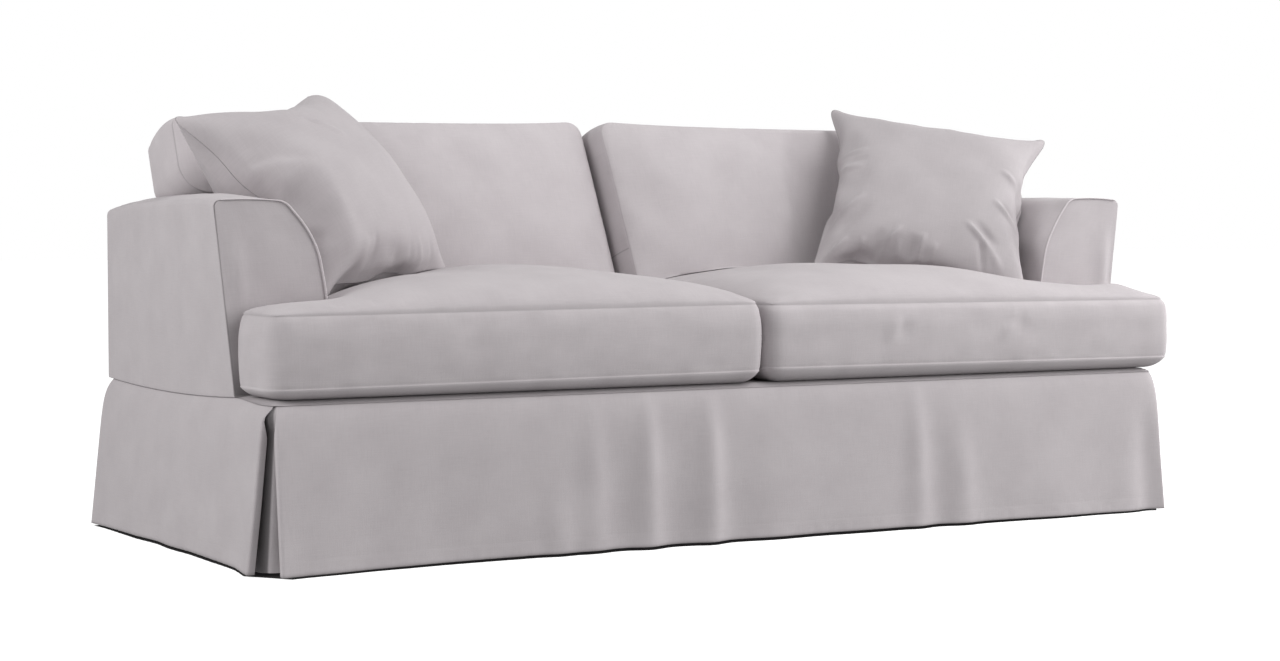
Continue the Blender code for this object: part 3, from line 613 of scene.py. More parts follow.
skirtShape = {
    # across a turned-in edge: distance along the panel from its end at the seam and below, and how far behind
    "turnIn": np.array([(0.0000, 0.0010, 0.0160), (0.0010, 0.0003, 0.0090), (0.0020, 0.0000, 0.0045),
                        (0.0030, 0.0012, 0.0015), (0.0045, 0.0045, 0.0000), (0.0120, 0.0120, 0.0000)]),
    "hem": 0.028,
    # folds: place along the panel, half width, depth (out is positive), how far down each starts
    "front": [(-0.380, 0.027, 0.0085, -0.05), (-0.320, 0.030, -0.0040, 0.10), (-0.262, 0.025, 0.0132, -0.12),
              (-0.190, 0.034, -0.0060, 0.00), (-0.121, 0.025, 0.0125, -0.12), (-0.050, 0.045, -0.0040, 0.20),
              (0.374, 0.026, 0.0095, -0.08), (0.430, 0.030, -0.0055, 0.05), (0.487, 0.028, 0.0080, 0.15),
              (0.985, 0.030, -0.0120, 0.15), (-0.90, 0.05, 0.004, 0.1), (-0.70, 0.06, -0.003, 0.2),
              (-0.500, 0.025, -0.0045, 0.45), (-0.455, 0.025, 0.0040, 0.45),
              (0.72, 0.06, 0.003, 0.3), (0.20, 0.05, 0.003, 0.4)],
    "left": [(0.30, 0.12, -0.006, 0.1), (0.12, 0.07, -0.004, 0.1), (-0.2, 0.10, 0.003, 0.3)],
    "right": [(-0.08, 0.10, -0.005, 0.1), (0.19, 0.08, 0.006, 0.1)],
    "back": [(-0.45, 0.06, 0.008, 0.1), (0.10, 0.08, -0.007, 0.1), (0.55, 0.05, 0.009, 0.1)],
}


hemLines = []   # points along the hems, for the shade on the ground


def flare(drop):  # share of the hem's spread at a share of the drop: a round shoulder, then straight
    return 0.45 * (1 - np.exp(-drop / 0.07)) + 0.55 * drop


# Panel hanging from the line between topEnds to the one between hemEnds, seen from outside left to right: u along
# it, v down it. Folds are bells that open towards the hem, spread is the hem's extra reach at each end, falling
# off as exp(-distance / 16 cm), and the hem's double cloth puckers a little. Below the seam the far end is drawn
# back by opening, so that the pleat shows.
def skirtPanel(name, topEnds, hemEnds, seam, spread, seed, opening=0.0):
    topEnds, hemEnds = np.array(topEnds), np.array(hemEnds)
    length = np.linalg.norm(topEnds[1] - topEnds[0])
    along = (topEnds[1] - topEnds[0]) / length
    out = np.array([along[1], -along[0]])
    height, turnIn = sofa["ledgeSeam"], skirtShape["turnIn"]
    turnRun = runAlong(turnIn[:, 1:])
    flatLength = length - 2 * turnIn[-1, 0] + 2 * turnRun[-1]

    def surface(u, v):
        drop = v / height
        turned = smoothStep((drop - 0.02) / 0.2)
        fromEnd = toEnd(u, flatLength)
        atEnd = fromEnd < turnRun[-1]
        seamPlace, belowPlace, behind = (np.interp(fromEnd, turnRun, turnIn[:, k]) for k in range(3))
        edge = seamPlace + turned * (belowPlace - seamPlace)
        drawnBack = opening * smoothStep(drop / 0.10)
        edge = edge + drawnBack * (u > flatLength / 2)
        edge = np.where(u < flatLength / 2, edge, length - edge)
        shortened = 1 - drawnBack / (length - 2 * turnIn[-1, 0])
        place = np.where(atEnd, edge, (u - turnRun[-1]) * shortened + turnIn[-1, 0])
        share = place / length
        centre = place - length / 2
        top = topEnds[0] + share[..., None] * (topEnds[1] - topEnds[0])
        lift = 0.002 * smoothStep(toEnd(share) / 0.35)
        reach = 0.0
        for at, width, depth, start in skirtShape[name]:
            opened = smoothStep((drop - start) / 0.55)
            reach = reach + depth * opened * bell((centre - at) / (width * (0.8 + 0.4 * drop)))
        reach = reach + drop * (spread[0] * np.exp(-place / 0.16) + spread[1] * np.exp(-(length - place) / 0.16))
        free = smoothStep(toEnd(place, length) / 0.06)
        reach = reach + 0.0022 * drop * free * unevenness(place, 0.3 * v, 0.16, 1.0, seed)
        belowStitch = v - height + skirtShape["hem"]
        pucker = smoothStep(belowStitch / 0.02) * unevenness(place, 0.2 * v, 0.022, 1.0, seed + 1)
        reach = reach + 0.0005 * free * pucker
        stitch = bell(belowStitch / 0.0018)
        corner = 0.0088 * np.clip(1 - toEnd(place, length) / 0.022, 0, 1) ** 2 * (1 - flare(drop))
        inward = turned * np.where(atEnd, behind, 0.0) + corner + 0.0003 * stitch * free
        line = topEnds[0] + (hemEnds[0] - topEnds[0]) * flare(drop)[..., None]
        end = topEnds[1] + (hemEnds[1] - topEnds[1]) * flare(drop)[..., None]
        plan = line + share[..., None] * (end - line) + (reach - inward)[..., None] * out
        z = (seam(top[..., 1]) - sofa["gap"]) * (1 - drop) + (lift + 0.0024) * drop
        return np.concatenate([plan, z[..., None]], -1)

    ends = np.linspace(0, turnRun[-1], 14)
    u = np.concatenate([ends, np.linspace(turnRun[-1], flatLength - turnRun[-1], int(length / 0.0075))[1:-1],
                        flatLength - ends[::-1]])
    v = np.concatenate([[0, 0.002, 0.005, 0.009, 0.014, 0.020], np.arange(0.028, height - 0.034, 0.010),
                        height - np.linspace(0.032, 0, 13)])

    def shading(u, v):  # painted shade at the seam and under the hem, painted highlight beside the turned edge
        beside = bell((toEnd(u, flatLength) - 0.009) / 0.003)
        return seamDark(v) + 0.06 * beside - 0.35 * bell((height - v) / 0.004)

    flatPart = u[len(ends):-len(ends)]
    hemLines.append(surface(flatPart, np.full(len(flatPart), height)))
    piece = clothSheet(f"skirt_{name}", surface, u, v, 1.0, shading)


# Insert behind an open corner, bent round it: u along it from one end to the other, v down it.
def pleat(node, side, front, reachX, reachY):
    half, top = 0.12, (sofa["ledgeSeam"] if front > 0 else sofa["skirtSeam"]) - sofa["gap"]
    cornerY = 0.0 if front > 0 else sofa["back"]

    def surface(u, v):
        leg, drop = u - half, v / top
        inset = 0.0024 + 0.0187 * smoothStep(drop / 0.18)
        roundOff = 0.011 * np.exp(-np.abs(leg) / 0.012)
        x = sofa["halfWidth"] - inset + flare(drop) * reachX - np.maximum(leg, 0) - roundOff
        y = inset - flare(drop) * reachY + np.maximum(-leg, 0) + roundOff
        return np.stack([side * x, cornerY + front * y, top * (1 - drop) + 0.004 * drop], -1)

    def shading(u, v):  # painted shade on the leg that lies behind the front or the back
        return 0.30 + 0.70 * smoothStep((u - half + 0.002) / 0.008)

    u = placesBetween(0, 2 * half, 0.006, False, False)
    piece = clothSheet(node, surface, u, placesBetween(0, top, 0.012), -side * front, shading)


def overFront(y):
    return np.full(y.shape, sofa["ledgeSeam"])


def overSide(y):
    return np.where(y < sofa["armFront"], ledgeHeight(y), sideSeam(y))


# the panels stop short of the corners, where the pleats show
half, end, cutBack = sofa["halfWidth"], sofa["back"], 0.0125
skirtPanel("front", [(-half + cutBack, 0), (half - cutBack, 0)], [(-half - 0.010, -0.034), (half + 0.014, -0.014)],
           overFront, (0.038, 0.012), 31)
skirtPanel("left", [(-half, end - cutBack), (-half, cutBack)], [(-half - 0.022, 0.914), (-half - 0.026, -0.022)],
           overSide, (0.006, 0.032), 33, opening=0.016)
skirtPanel("right", [(half, cutBack), (half, end - cutBack)], [(half + 0.022, 0.012), (half + 0.022, 0.914)],
           overSide, (0.014, 0.006), 35)
skirtPanel("back", [(half - cutBack, end), (-half + cutBack, end)], [(half - 0.026, 0.915), (-half + 0.026, 0.915)],
           overSide, (0.010, 0.010), 37)
pleat("pleat_front_left", -1, 1, 0.0436, 0.033)
pleat("pleat_front_right", 1, 1, 0.0256, 0.021)
pleat("pleat_back_left", -1, -1, 0.0236, 0.051)
pleat("pleat_back_right", 1, -1, 0.0236, 0.051)
print("skirt made")


# Height from 0 at the edge to 1 at the fullest place of a sheet blown up over the kept cells: what leaves each
# point over its four sides equals its own area, solved by conjugate gradients.
def blownUp(uLines, vLines, keep):
    inside = keptCells(keep) == 4
    stepU, stepV = np.diff(uLines), np.diff(vLines)
    wideU, wideV = np.gradient(uLines), np.gradient(vLines)
    wideU[1:-1], wideV[1:-1] = (stepU[1:] + stepU[:-1]) / 2, (stepV[1:] + stepV[:-1]) / 2
    weightU, weightV = wideV[None, :] / stepU[:, None], wideU[:, None] / stepV[None, :]

    def gathered(sideU, sideV, sign):  # each point's sum over its sides, those before it times sign
        total = np.zeros(inside.shape)
        total[:-1] += sideU
        total[1:] += sign * sideU
        total[:, :-1] += sideV
        total[:, 1:] += sign * sideV
        return total

    def leaving(height):
        return gathered(-np.diff(height, axis=0) * weightU, -np.diff(height, axis=1) * weightV, -1) * inside

    total = gathered(weightU, weightV, 1)
    height = np.zeros(inside.shape)
    rest = wideU[:, None] * wideV[None, :] * inside
    way = ready = rest / total
    product = (rest * ready).sum()
    for _ in range(700):
        pulled = leaving(way)
        share = product / (way * pulled).sum()
        height, rest = height + share * way, rest - share * pulled
        ready = rest / total
        before, product = product, (rest * ready).sum()
        if product < 1e-16:
            break
        way = ready + product / before * way
    return np.clip(height, 0, None) / height.max()


# Straight lines between values on a grid, at any points.
def gridValue(uLines, vLines, grid, u, v):
    i = np.clip(np.searchsorted(uLines, u) - 1, 0, len(uLines) - 2)
    j = np.clip(np.searchsorted(vLines, v) - 1, 0, len(vLines) - 2)
    s = np.clip((u - uLines[i]) / (uLines[i + 1] - uLines[i]), 0, 1)
    t = np.clip((v - vLines[j]) / (vLines[j + 1] - vLines[j]), 0, 1)
    low = grid[i, j] * (1 - s) + grid[i + 1, j] * s
    high = grid[i, j + 1] * (1 - s) + grid[i + 1, j + 1] * s
    return low * (1 - t) + high * t


def cushionLines(start, notch, end):  # places over a cushion, crowded at its edges and on one side of the notch
    return np.concatenate([placesBetween(start, notch, 0.0125), placesBetween(notch, end, 0.0125, False)[1:]])


# Where the far side lies under the face: its edges and notch moved by shifts, straight lines between.
def insetLines(start, notch, end, near, after, last, shifts):
    places = np.array([start, start + near, notch - near, notch, notch + after, end - last, end])
    return places, places + shifts


# Box cushion in its own axes, u and v over its face and n out of it: the face stands its crown times rise^power
# over the seam, the boxing bulges out between its seams, and the far side turns in over the end of an ellipse.
# Both seams are drawn in a little, and the cloth puckers along them. Shades, all painted light and shade: tone is
# over the whole cushion and the face tone over its face, for how the light falls on them; firstSeam paints a shade
# line at that seam when under 1 and a highlight when over 1, secondSeam is the highlight the other gains, underShade
# the shade on the side turned in, and crossSeam a shade line where two lengths of boxing meet, by how far across
# that can be and its place up.
def boxCushion(node, shape, uLines, vLines, keep, corners, heart, bulge, relief, toWorld):
    u, v = gridOf(uLines, vLines)
    rise = blownUp(uLines, vLines, keep)
    planU, planV = rounded(u, v, corners)
    ring = edgeRing(u, v, keep, heart)
    line = np.stack([planU, planV], -1).reshape(-1, 2)[ring]
    ahead = np.roll(line, -1, 0) - np.roll(line, 1, 0)
    out = unit(np.stack([ahead[:, 1], -ahead[:, 0]], 1))
    run, seed = runAlong(line), shape["seed"]
    pucker = unevenness(run, 0 * run, 0.045, 1.0, seed)

    nearSeam = smoothStep(rise / 0.02) * (1 - smoothStep(rise / 0.16))
    crown = shape["crown"] * rise ** shape["power"] + relief(planU, planV, rise)
    crown = crown + 0.0008 * nearSeam * unevenness(planU, planV, 0.035, 1.0, seed + 1)
    front = np.stack([planU, planV, crown], -1)
    flat = front.reshape(-1, 3)
    flat[ring, :2] -= 0.0012 * out
    flat[ring, 2] = 0.0

    # rows down the boxing, then those round the ellipse from turnFrom degrees on
    depth = shape["depth"]
    down = placesBetween(0, depth, 0.009)[1:]
    share = spline(down / depth, *np.array(shape["boxing"]).T)
    wide = bulge(line[:, 0], line[:, 1])
    groove = 0.0010 * bell(down / 0.002) + 0.0005 * bell((down - depth + 0.003) / 0.002)
    ridge = 0.0007 * bell((down - depth) / 0.0010)
    soft = 0.0005 * (bell((down - 0.010) / 0.008) + bell((depth - down - 0.012) / 0.008))
    across = share[:, None] * wide - (groove - ridge)[:, None] + soft[:, None] * pucker
    across += 0.0010 * np.sin(np.pi * down / depth)[:, None] * unevenness(run[None], down[:, None], 0.15, 1.0, seed + 2)
    # creases across the front's boxing alone
    besideFront = line[:, 1] < vLines[0] + 0.02
    across += besideFront * creases(line[None, :, 0], down[:, None], shape.get("boxCreases", []))
    sides = np.empty((len(down), len(ring), 3))
    sides[..., :2] = line + across[..., None] * out
    sides[..., 2] = -down[:, None]

    turnIn, thick = shape["turnIn"], shape["thick"]
    insetU, insetV = (np.interp(w, *shape[key]) for w, key in ((u, "insetU"), (v, "insetV")))
    insetCorners = [(cu - wu * turnIn, cv - wv * turnIn, wu, wv, max(r - 0.5 * turnIn, 0.01))
                    for cu, cv, wu, wv, r in corners]
    backU, backV = rounded(insetU, insetV, insetCorners)
    under = np.stack([backU, backV, -thick - shape["backCrown"] * rise ** 0.5], -1)
    backLine = under.reshape(-1, 3)[ring]
    turn = np.radians(np.linspace(shape["turnFrom"], 90, 10))[1:-1, None, None]
    inwards = 1 - np.cos(turn) / np.cos(np.radians(shape["turnFrom"]))
    downwards = 1 - (1 - np.sin(turn)) / (1 - np.sin(np.radians(shape["turnFrom"])))
    last = np.concatenate([sides[-1, :, :2] - 0.0011 * out, np.full((len(ring), 1), -depth - 0.001)], 1)
    ends = last + (backLine - last) * np.concatenate([inwards, inwards, downwards], -1)
    # painted light and shade: lines at the seams and the crossing seam, the turned-in side, the face and the whole
    # cushion
    firstSeam, endTurn = shape["firstSeam"], np.linspace(0, 1, len(ends))
    edge = 1 + (firstSeam - 1) * bell(down / 0.0014) + shape["secondSeam"] * bell((down - depth) / 0.0012)
    edge = np.concatenate([edge, 1 + (shape["underShade"] - 1) * smoothStep(0.15 + endTurn)])
    mottled = 1 + 0.018 * unevenness(run[None], 1.4 * down[:, None], 0.07, 1.0, seed + 9)
    mottled = np.concatenate([mottled, np.repeat(mottled[-1:], len(ends), 0)])
    crossLimit, crossPlace = shape["crossSeam"]
    crossing = 0.35 * bell((line[:, 1] - crossPlace) / 0.0012) * (line[:, 0] < crossLimit)
    face = np.full(u.size, shape["paintedFaceShade"])
    face[ring] = firstSeam
    shade = shape["tone"] * np.concatenate([face, np.full(u.size, shape["underShade"]),
                                            (edge[:, None] * (1 - crossing) * mottled).ravel()])
    sides = np.concatenate([sides, ends])
    return layeredPiece(node, toWorld(front), toWorld(under), keep, ring, toWorld(sides), u, v, cushionCloth,
                        shade), (uLines, vLines, front[..., 2])


seat = {
    "topSeam": 0.4638, "rest": sofa["deck"] + 0.0006,
    "fall": 0.0050,     # of the seams for each metre away from the middle
    "power": 0.48,
    "inner": 0.8440, "front": -0.005, "earBack": 0.164, "backEnd": 0.648,
}


# Seat cushion with its ear in front of the arm: its axes are x, y and z, and a plane that falls to the sides lifts
# what isn't pressed on the deck.
def seatCushion(hand, side, own):
    inner, front, earBack, end = (seat[k] for k in ("inner", "front", "earBack", "backEnd"))
    joint, outer = own["joint"], own["outer"]
    xLines, yLines = cushionLines(joint, inner, outer), cushionLines(front, earBack, end)
    keep = (xLines[1:, None] <= inner + 1e-6) | (yLines[None, 1:] <= earBack + 1e-6)
    corners = [(joint, front, -1, -1, 0.026), (outer, front, 1, -1, own["earCorner"]), (outer, earBack, 1, 1, 0.032),
               (joint, end, -1, 1, 0.025), (inner, end, 1, 1, 0.025)]

    def bulge(x, y):
        byEar, byFront = bell((outer - x) / 0.03), bell((y - front) / 0.03)
        full = 0.009 + (own["earBulge"] - 0.009) * byEar + 0.004 * byFront * (1 - byEar)
        full = np.minimum(full, 0.0105 + 0.1 * smoothStep((x - joint) / 0.2))
        besideArm = (x > inner - 0.001) & (y > earBack - 0.02)
        return np.where(besideArm, 0.0035, full)

    def relief(x, y, rise):
        middle = smoothStep(rise / 0.2)
        return (middle * unevenness(x, y, 0.30, 0.0026, own["seed"] + 5)
                + smoothStep(rise / 0.08) * creases(x, y, own["creases"]))

    turnIn = 0.030
    shape = {
        **own, "power": seat["power"], "depth": seat["topSeam"] - own["bottomSeam"],
        "thick": seat["topSeam"] - seat["rest"], "backCrown": 0.0, "turnIn": turnIn, "turnFrom": 38,
        # painted light and shade: a shade line at the top seam, a highlight at the bottom one, shade on the turned-in
        # side and on the face, light over the whole cushion
        "firstSeam": 0.82, "secondSeam": 0.07, "underShade": 0.58, "tone": 1.01, "paintedFaceShade": 0.965,
        "crossSeam": (-1.0, 0.0),
        "insetU": insetLines(joint, inner, outer, 0.09, 0.05, 0.09, (turnIn, 0, 0, -turnIn, -0.02, 0, -turnIn)),
        "insetV": insetLines(front, earBack, end, 0.07, 0.07, 0.09,
                             (turnIn, 0.01, -0.005, -turnIn, -0.02, 0, -turnIn)),
    }

    def toWorld(points):
        points = points + (0.0, 0.0, seat["topSeam"])
        held = np.clip((points[..., 2] - seat["rest"]) / (own["bottomSeam"] - seat["rest"]), 0, 1)
        points[..., 2] += held * (own["lift"] - seat["fall"] * points[..., 0])
        return mirrorTo(side, points)

    piece, top = boxCushion(f"seat_cushion_{hand}", shape, xLines, yLines, keep, corners, (0.70, 0.08), bulge,
                            relief, toWorld)
    return top[0], top[1], top[2] + seat["topSeam"] + own["lift"] - seat["fall"] * top[0][:, None]


backs = {
    "top": 0.838, "foot": 0.478, "earFoot": 0.685,   # heights of the front face's edges
    "joint": 0.0120, "inner": 0.8640, "outer": 0.960,
    "crossSeam": -0.29,     # along the face's slope, from the top
    "jointLift": 0.012,     # of the top, falling off as exp(-x / 15 cm)
    "turnIn": 0.010,
}
lean = np.radians(22.0)  # of the inside back
upLean = np.array([0.0, np.sin(lean), np.cos(lean)])
outLean = np.array([0.0, -np.cos(lean), np.sin(lean)])


# Keeps points clear of the seat cushion below, the arm and the inside back.
def clearOf(points, seatTop, offArm):
    x, y, z = np.moveaxis(points, -1, 0)
    floor = gridValue(*seatTop, x, y) + 0.0015
    overArm = spline(np.clip(y, 0.18, 0.869), armTop[-1.0][:, 0], armTop[-1.0][:, 2]) + 0.003
    z = softMax(z, np.where(offArm, overArm, floor), 0.002)
    below = z - 1.3 * backTop(x) * smoothStep((z - 0.6) / 0.06)
    heights, halfWidths, placesBack = arm["inner"][::-1].T
    y = np.where(below < 0.667, np.minimum(y, np.interp(below, heights, placesBack) - 0.0022), y)
    reach = np.interp(z, heights, halfWidths) - 0.003
    low = ~offArm & (z < 0.68) & (y > sofa["armFront"] - 0.02)
    return np.stack([np.where(low, softMin(x, reach, 0.002), x), y, z], -1)


# Back cushion with its ear over the arm: u is x, v runs up the slope of the back and n out of it. Its top is lifted
# beside the joint and at the ear.
def backCushion(hand, side, own, seatTop):
    joint, inner, outer, turnIn = (backs[key] for key in ("joint", "inner", "outer", "turnIn"))
    height = (backs["top"] - backs["foot"]) / np.cos(lean)
    notch = -height + (backs["earFoot"] - backs["foot"]) / np.cos(lean)
    uLines = cushionLines(joint, inner, outer)
    vLines = np.concatenate([placesBetween(-height, notch, 0.0125, True, False),
                             placesBetween(notch, 0, 0.0125)[1:]])
    seamLines = backs["crossSeam"] + 0.0012 * np.arange(-2, 3)   # lines enough to draw the boxing's seam
    away = np.abs(vLines[:, None] - seamLines).min(1) > 0.002
    vLines = np.sort(np.concatenate([vLines[away], seamLines]))
    keep = (uLines[1:, None] <= inner + 1e-6) | (vLines[None, :-1] >= notch - 1e-6)
    corners = [(joint, 0.0, -1, 1, 0.034), (outer, 0.0, 1, 1, 0.020), (outer, notch, 1, -1, 0.065),
               (joint, -height, -1, -1, 0.03), (inner, -height, 1, -1, 0.03)]

    def relief(x, up, rise):
        middle = smoothStep(rise / 0.25)
        return middle * (unevenness(x, up, 0.26, 0.0030, own["seed"] + 5) + creases(x, up, own["creases"]))

    shape = {
        **own, "crown": 0.045, "power": 0.60, "depth": own["depth"] - 0.012, "thick": own["depth"],
        "backCrown": 0.010, "boxing": [(0, 0), (0.07, 0.3), (0.22, 0.75), (0.5, 1.0), (0.8, 0.75), (1.0, 0.35)],
        "turnIn": turnIn, "turnFrom": 0, "secondSeam": 0.0, "underShade": 1.0, "paintedFaceShade": 1.0,
        "crossSeam": (joint + 0.01, backs["crossSeam"]),
        "insetU": insetLines(joint, inner, outer, 0.05, 0.03, 0.03, (turnIn, 0, 0, -turnIn, 0, 0, -turnIn)),
        "insetV": insetLines(-height, notch, 0, 0.05, 0.05, 0.04, (turnIn, 0, 0, turnIn, 0, 0, -turnIn)),
    }

    def toWorld(points):
        u, v, n = points[..., :1], points[..., 1:2], points[..., 2:]
        world = np.array([0.0, own["frontY"], backs["top"]]) + v * upLean + n * outLean
        world[..., 0] = np.maximum(u[..., 0], 0.0022)
        world[..., 1] += own["turn"] * world[..., 0]
        down = -v[..., 0] / height
        earLift = own["earLift"] * smoothStep((u[..., 0] - outer + 0.12) / 0.10)
        world[..., 2] += (backs["jointLift"] * np.exp(-world[..., 0] / 0.15) + earLift) * (1 - down)
        # the joint leans a little to the right on its way down
        world[..., 0] += side * (0.022 * down - 0.006) * np.exp(-world[..., 0] / 0.25)
        onEar = u[..., 0] > inner + 1e-6
        return mirrorTo(side, clearOf(world, seatTop, onEar))

    piece, face = boxCushion(f"back_cushion_{hand}", shape, uLines, vLines, keep, corners, (0.70, -0.06),
                             lambda x, up: 0.011, relief, toWorld)
    return *face, own


pillowSim = {"cells": 56, "flat": 0.5, "frames": 20, "pressure": 5.0, "mass": 0.15, "stiffness": 25.0, "bending": 1.5,
             "calm": 7,         # times each place is averaged with its neighbours
             "corner": 0.15}    # radius of a corner, as a share of half the side


# Two square panels sewn along their edges and blown up by a cloth simulation, as grids of points from corner to
# corner.
def blownPanels():
    cells, flat = pillowSim["cells"], pillowSim["flat"]
    places = np.linspace(-1, 1, cells + 1)
    a, b = gridOf(places, places)
    start = np.stack([a * flat / 2, b * flat / 2, 0.012 * np.sqrt((1 - a ** 2) * (1 - b ** 2))], -1).reshape(-1, 3)
    count = len(start)
    ids = np.arange(count).reshape(a.shape)
    onEdge = ((np.abs(a) == 1) | (np.abs(b) == 1)).ravel()
    under = np.where(onEdge, ids.ravel(), ids.ravel() + count)
    quads = gridQuads(*a.shape)
    quads = np.concatenate([quads, under[quads][:, ::-1]])
    used, quads = np.unique(quads, return_inverse=True)
    panels = addMesh("panels", np.concatenate([start, start * (1, 1, -1)])[used].tolist(),
                     quads.reshape(-1, 4).tolist())
    cloth = panels.modifiers.new("blowUp", "CLOTH").settings
    cloth.quality, cloth.mass, cloth.air_damping = 6, pillowSim["mass"], 3.0
    cloth.tension_stiffness = cloth.compression_stiffness = pillowSim["stiffness"]
    cloth.shear_stiffness, cloth.bending_stiffness = pillowSim["stiffness"] / 2, pillowSim["bending"]
    cloth.tension_damping = cloth.compression_damping = cloth.shear_damping = 10.0
    cloth.bending_damping = 2.0
    cloth.use_pressure, cloth.uniform_pressure_force = True, pillowSim["pressure"]
    cloth.effector_weights.gravity = 0.0
    for frameNumber in range(1, pillowSim["frames"] + 1):
        bpy.context.scene.frame_set(frameNumber)
    blown = panels.evaluated_get(bpy.context.evaluated_depsgraph_get()).data
    found = np.empty(3 * len(blown.vertices), np.float32)
    blown.vertices.foreach_get("co", found)
    points = np.empty((2 * count, 3))
    points[used] = found.reshape(-1, 3)
    front, back = points[:count].reshape(*a.shape, 3), points[under].reshape(*a.shape, 3)
    for panel in (front, back):
        for _ in range(pillowSim["calm"]):
            panel[1:-1, 1:-1] = (panel[1:-1, 1:-1] + (panel[2:, 1:-1] + panel[:-2, 1:-1] + panel[1:-1, 2:]
                                                      + panel[1:-1, :-2]) / 4) / 2
            for edge in (panel[0], panel[-1], panel[:, 0], panel[:, -1]):
                edge[1:-1] = edge[1:-1] / 2 + (edge[2:] + edge[:-2]) / 4
    middle = front[::cells, ::cells].mean((0, 1))
    bpy.data.objects.remove(panels)
    bpy.context.scene.frame_set(1)
    return places, front - middle, back - middle


# Square pillow from the blown-up panels: scaled to its own size and fullness, its corners rounded and thinned, pulled
# about and creased, then posed and moved clear of what it leans and stands on.
def pillow(hand, side, own, seatTop, backFace):
    right, up = unit(np.array(own["right"])), np.array(own["up"])
    up = unit(up - right * (up @ right))
    centre, right, up, forward = (mirrorTo(side, np.array(w))
                                  for w in (own["centre"], right, up, np.cross(right, up)))
    ends = 4.0 * seamSteps
    lines = np.concatenate([-1 + ends, np.linspace(-1 + ends[-1], 1 - ends[-1], 132)[1:-1], 1 - ends[::-1]])
    a, b = gridOf(lines, lines)
    keep = np.ones((len(lines) - 1, len(lines) - 1), bool)
    ring = edgeRing(a, b, keep, (0, 0))
    blunt = pillowSim["corner"]
    roundA, roundB = rounded(a, b, [(wayA, wayB, wayA, wayB, blunt) for wayA in (-1, 1) for wayB in (-1, 1)])
    inCorner = np.clip((np.abs(a) - 1 + blunt) / blunt, 0, 1), np.clip((np.abs(b) - 1 + blunt) / blunt, 0, 1)
    thinned = 1 - (1 - np.sqrt(1 - np.maximum(*inCorner) ** 4)) * np.minimum(1, 2 * np.minimum(*inCorner))
    thinned = thinned * (1 - 0.5 * bell(np.hypot(1 - np.abs(a), 1 - np.abs(b)) / 0.38))
    fromEdge = (1 - np.maximum(np.abs(a), np.abs(b))) * own["size"] / 2
    free = smoothStep(fromEdge / 0.02)
    scale = own["size"] / pillowSim["flat"]

    def shaped(panel, full):
        rows = spline(lines, panels[0], panel)
        grid = np.moveaxis(spline(lines, panels[0], np.moveaxis(rows, 1, 0)), 1, 0)
        placed = [gridValue(lines, lines, grid[..., k], roundA, roundB) for k in range(3)]
        return np.stack(placed, -1) * (scale, scale, full)

    front, back = shaped(panels[1], own["frontFull"]), shaped(panels[2], own["backFull"])
    middle, half = (front + back) / 2, (front - back) / 2 * thinned[..., None]
    front, back = middle + half, middle - half
    p, q = front[..., 0], front[..., 1]
    front[..., 2] += free * (unevenness(p, q, 0.16, 0.0014, own["seed"]) + creases(p, q, own["creases"]))
    back[..., 2] += free * unevenness(p, q, 0.16, 0.0018, own["seed"] + 3)
    back[..., 2] -= free * creases(back[..., 0], back[..., 1], own["backCreases"])
    # painted light and shade: tone over the whole pillow for how the light falls on it, a shade line along the seam,
    # and shade in the front's hollows
    backShade = own["tone"] - 0.16 * bell(fromEdge / 0.0010)
    frontShade = backShade + own["tone"] * creases(p, q, own["paintedShadeRows"])

    def toWorld(local):
        local = local.copy()
        for row in own["pulls"]:
            atP, atQ, reach, *pull = np.array(row) / 1000
            local += bell(np.hypot(local[..., :1] - atP, local[..., 1:2] - atQ) / reach) * np.array(pull)
        points = centre + local[..., :1] * right + local[..., 1:2] * up + local[..., 2:] * forward
        return mirrorTo(side, clearOfBack(points, seatTop, backFace))

    place, front, back = front[..., :2], toWorld(front), toWorld(back)
    edge = (front.reshape(-1, 3)[ring] + back.reshape(-1, 3)[ring]) / 2
    ahead = unit(np.roll(edge, -1, 0) - np.roll(edge, 1, 0))
    out = unit(np.cross(ahead, mirrorTo(side, forward)))
    out *= np.sign(((edge - edge.mean(0)) * out).sum(1, keepdims=True))
    # the strip round the seam is painted in shade
    shade = np.concatenate([frontShade.ravel(), backShade.ravel(), np.full(len(ring), 0.90)])
    piece = layeredPiece(f"pillow_{hand}", front, back, keep, ring, (edge + 0.0010 * out)[None],
                         place[..., 0], place[..., 1], pillowCloth, shade)


# Moves points off the front of the back cushion, out of its lean, then clear of the arm and the seat.
def clearOfBack(points, seatTop, backFace):
    uLines, vLines, crown, own = backFace
    local = points - (0.0, own["frontY"], backs["top"])
    local[..., 1] -= own["turn"] * points[..., 0]
    v, n = local @ upLean, local @ outLean
    need = gridValue(uLines, vLines, crown, points[..., 0], v) + 0.004
    push = np.where((v > vLines[0]) & (v < 0.02), softMax(need - n, 0.0, 0.002), 0)
    points = points + push[..., None] * outLean
    return clearOf(points, seatTop, np.zeros(points.shape[:-1], bool))


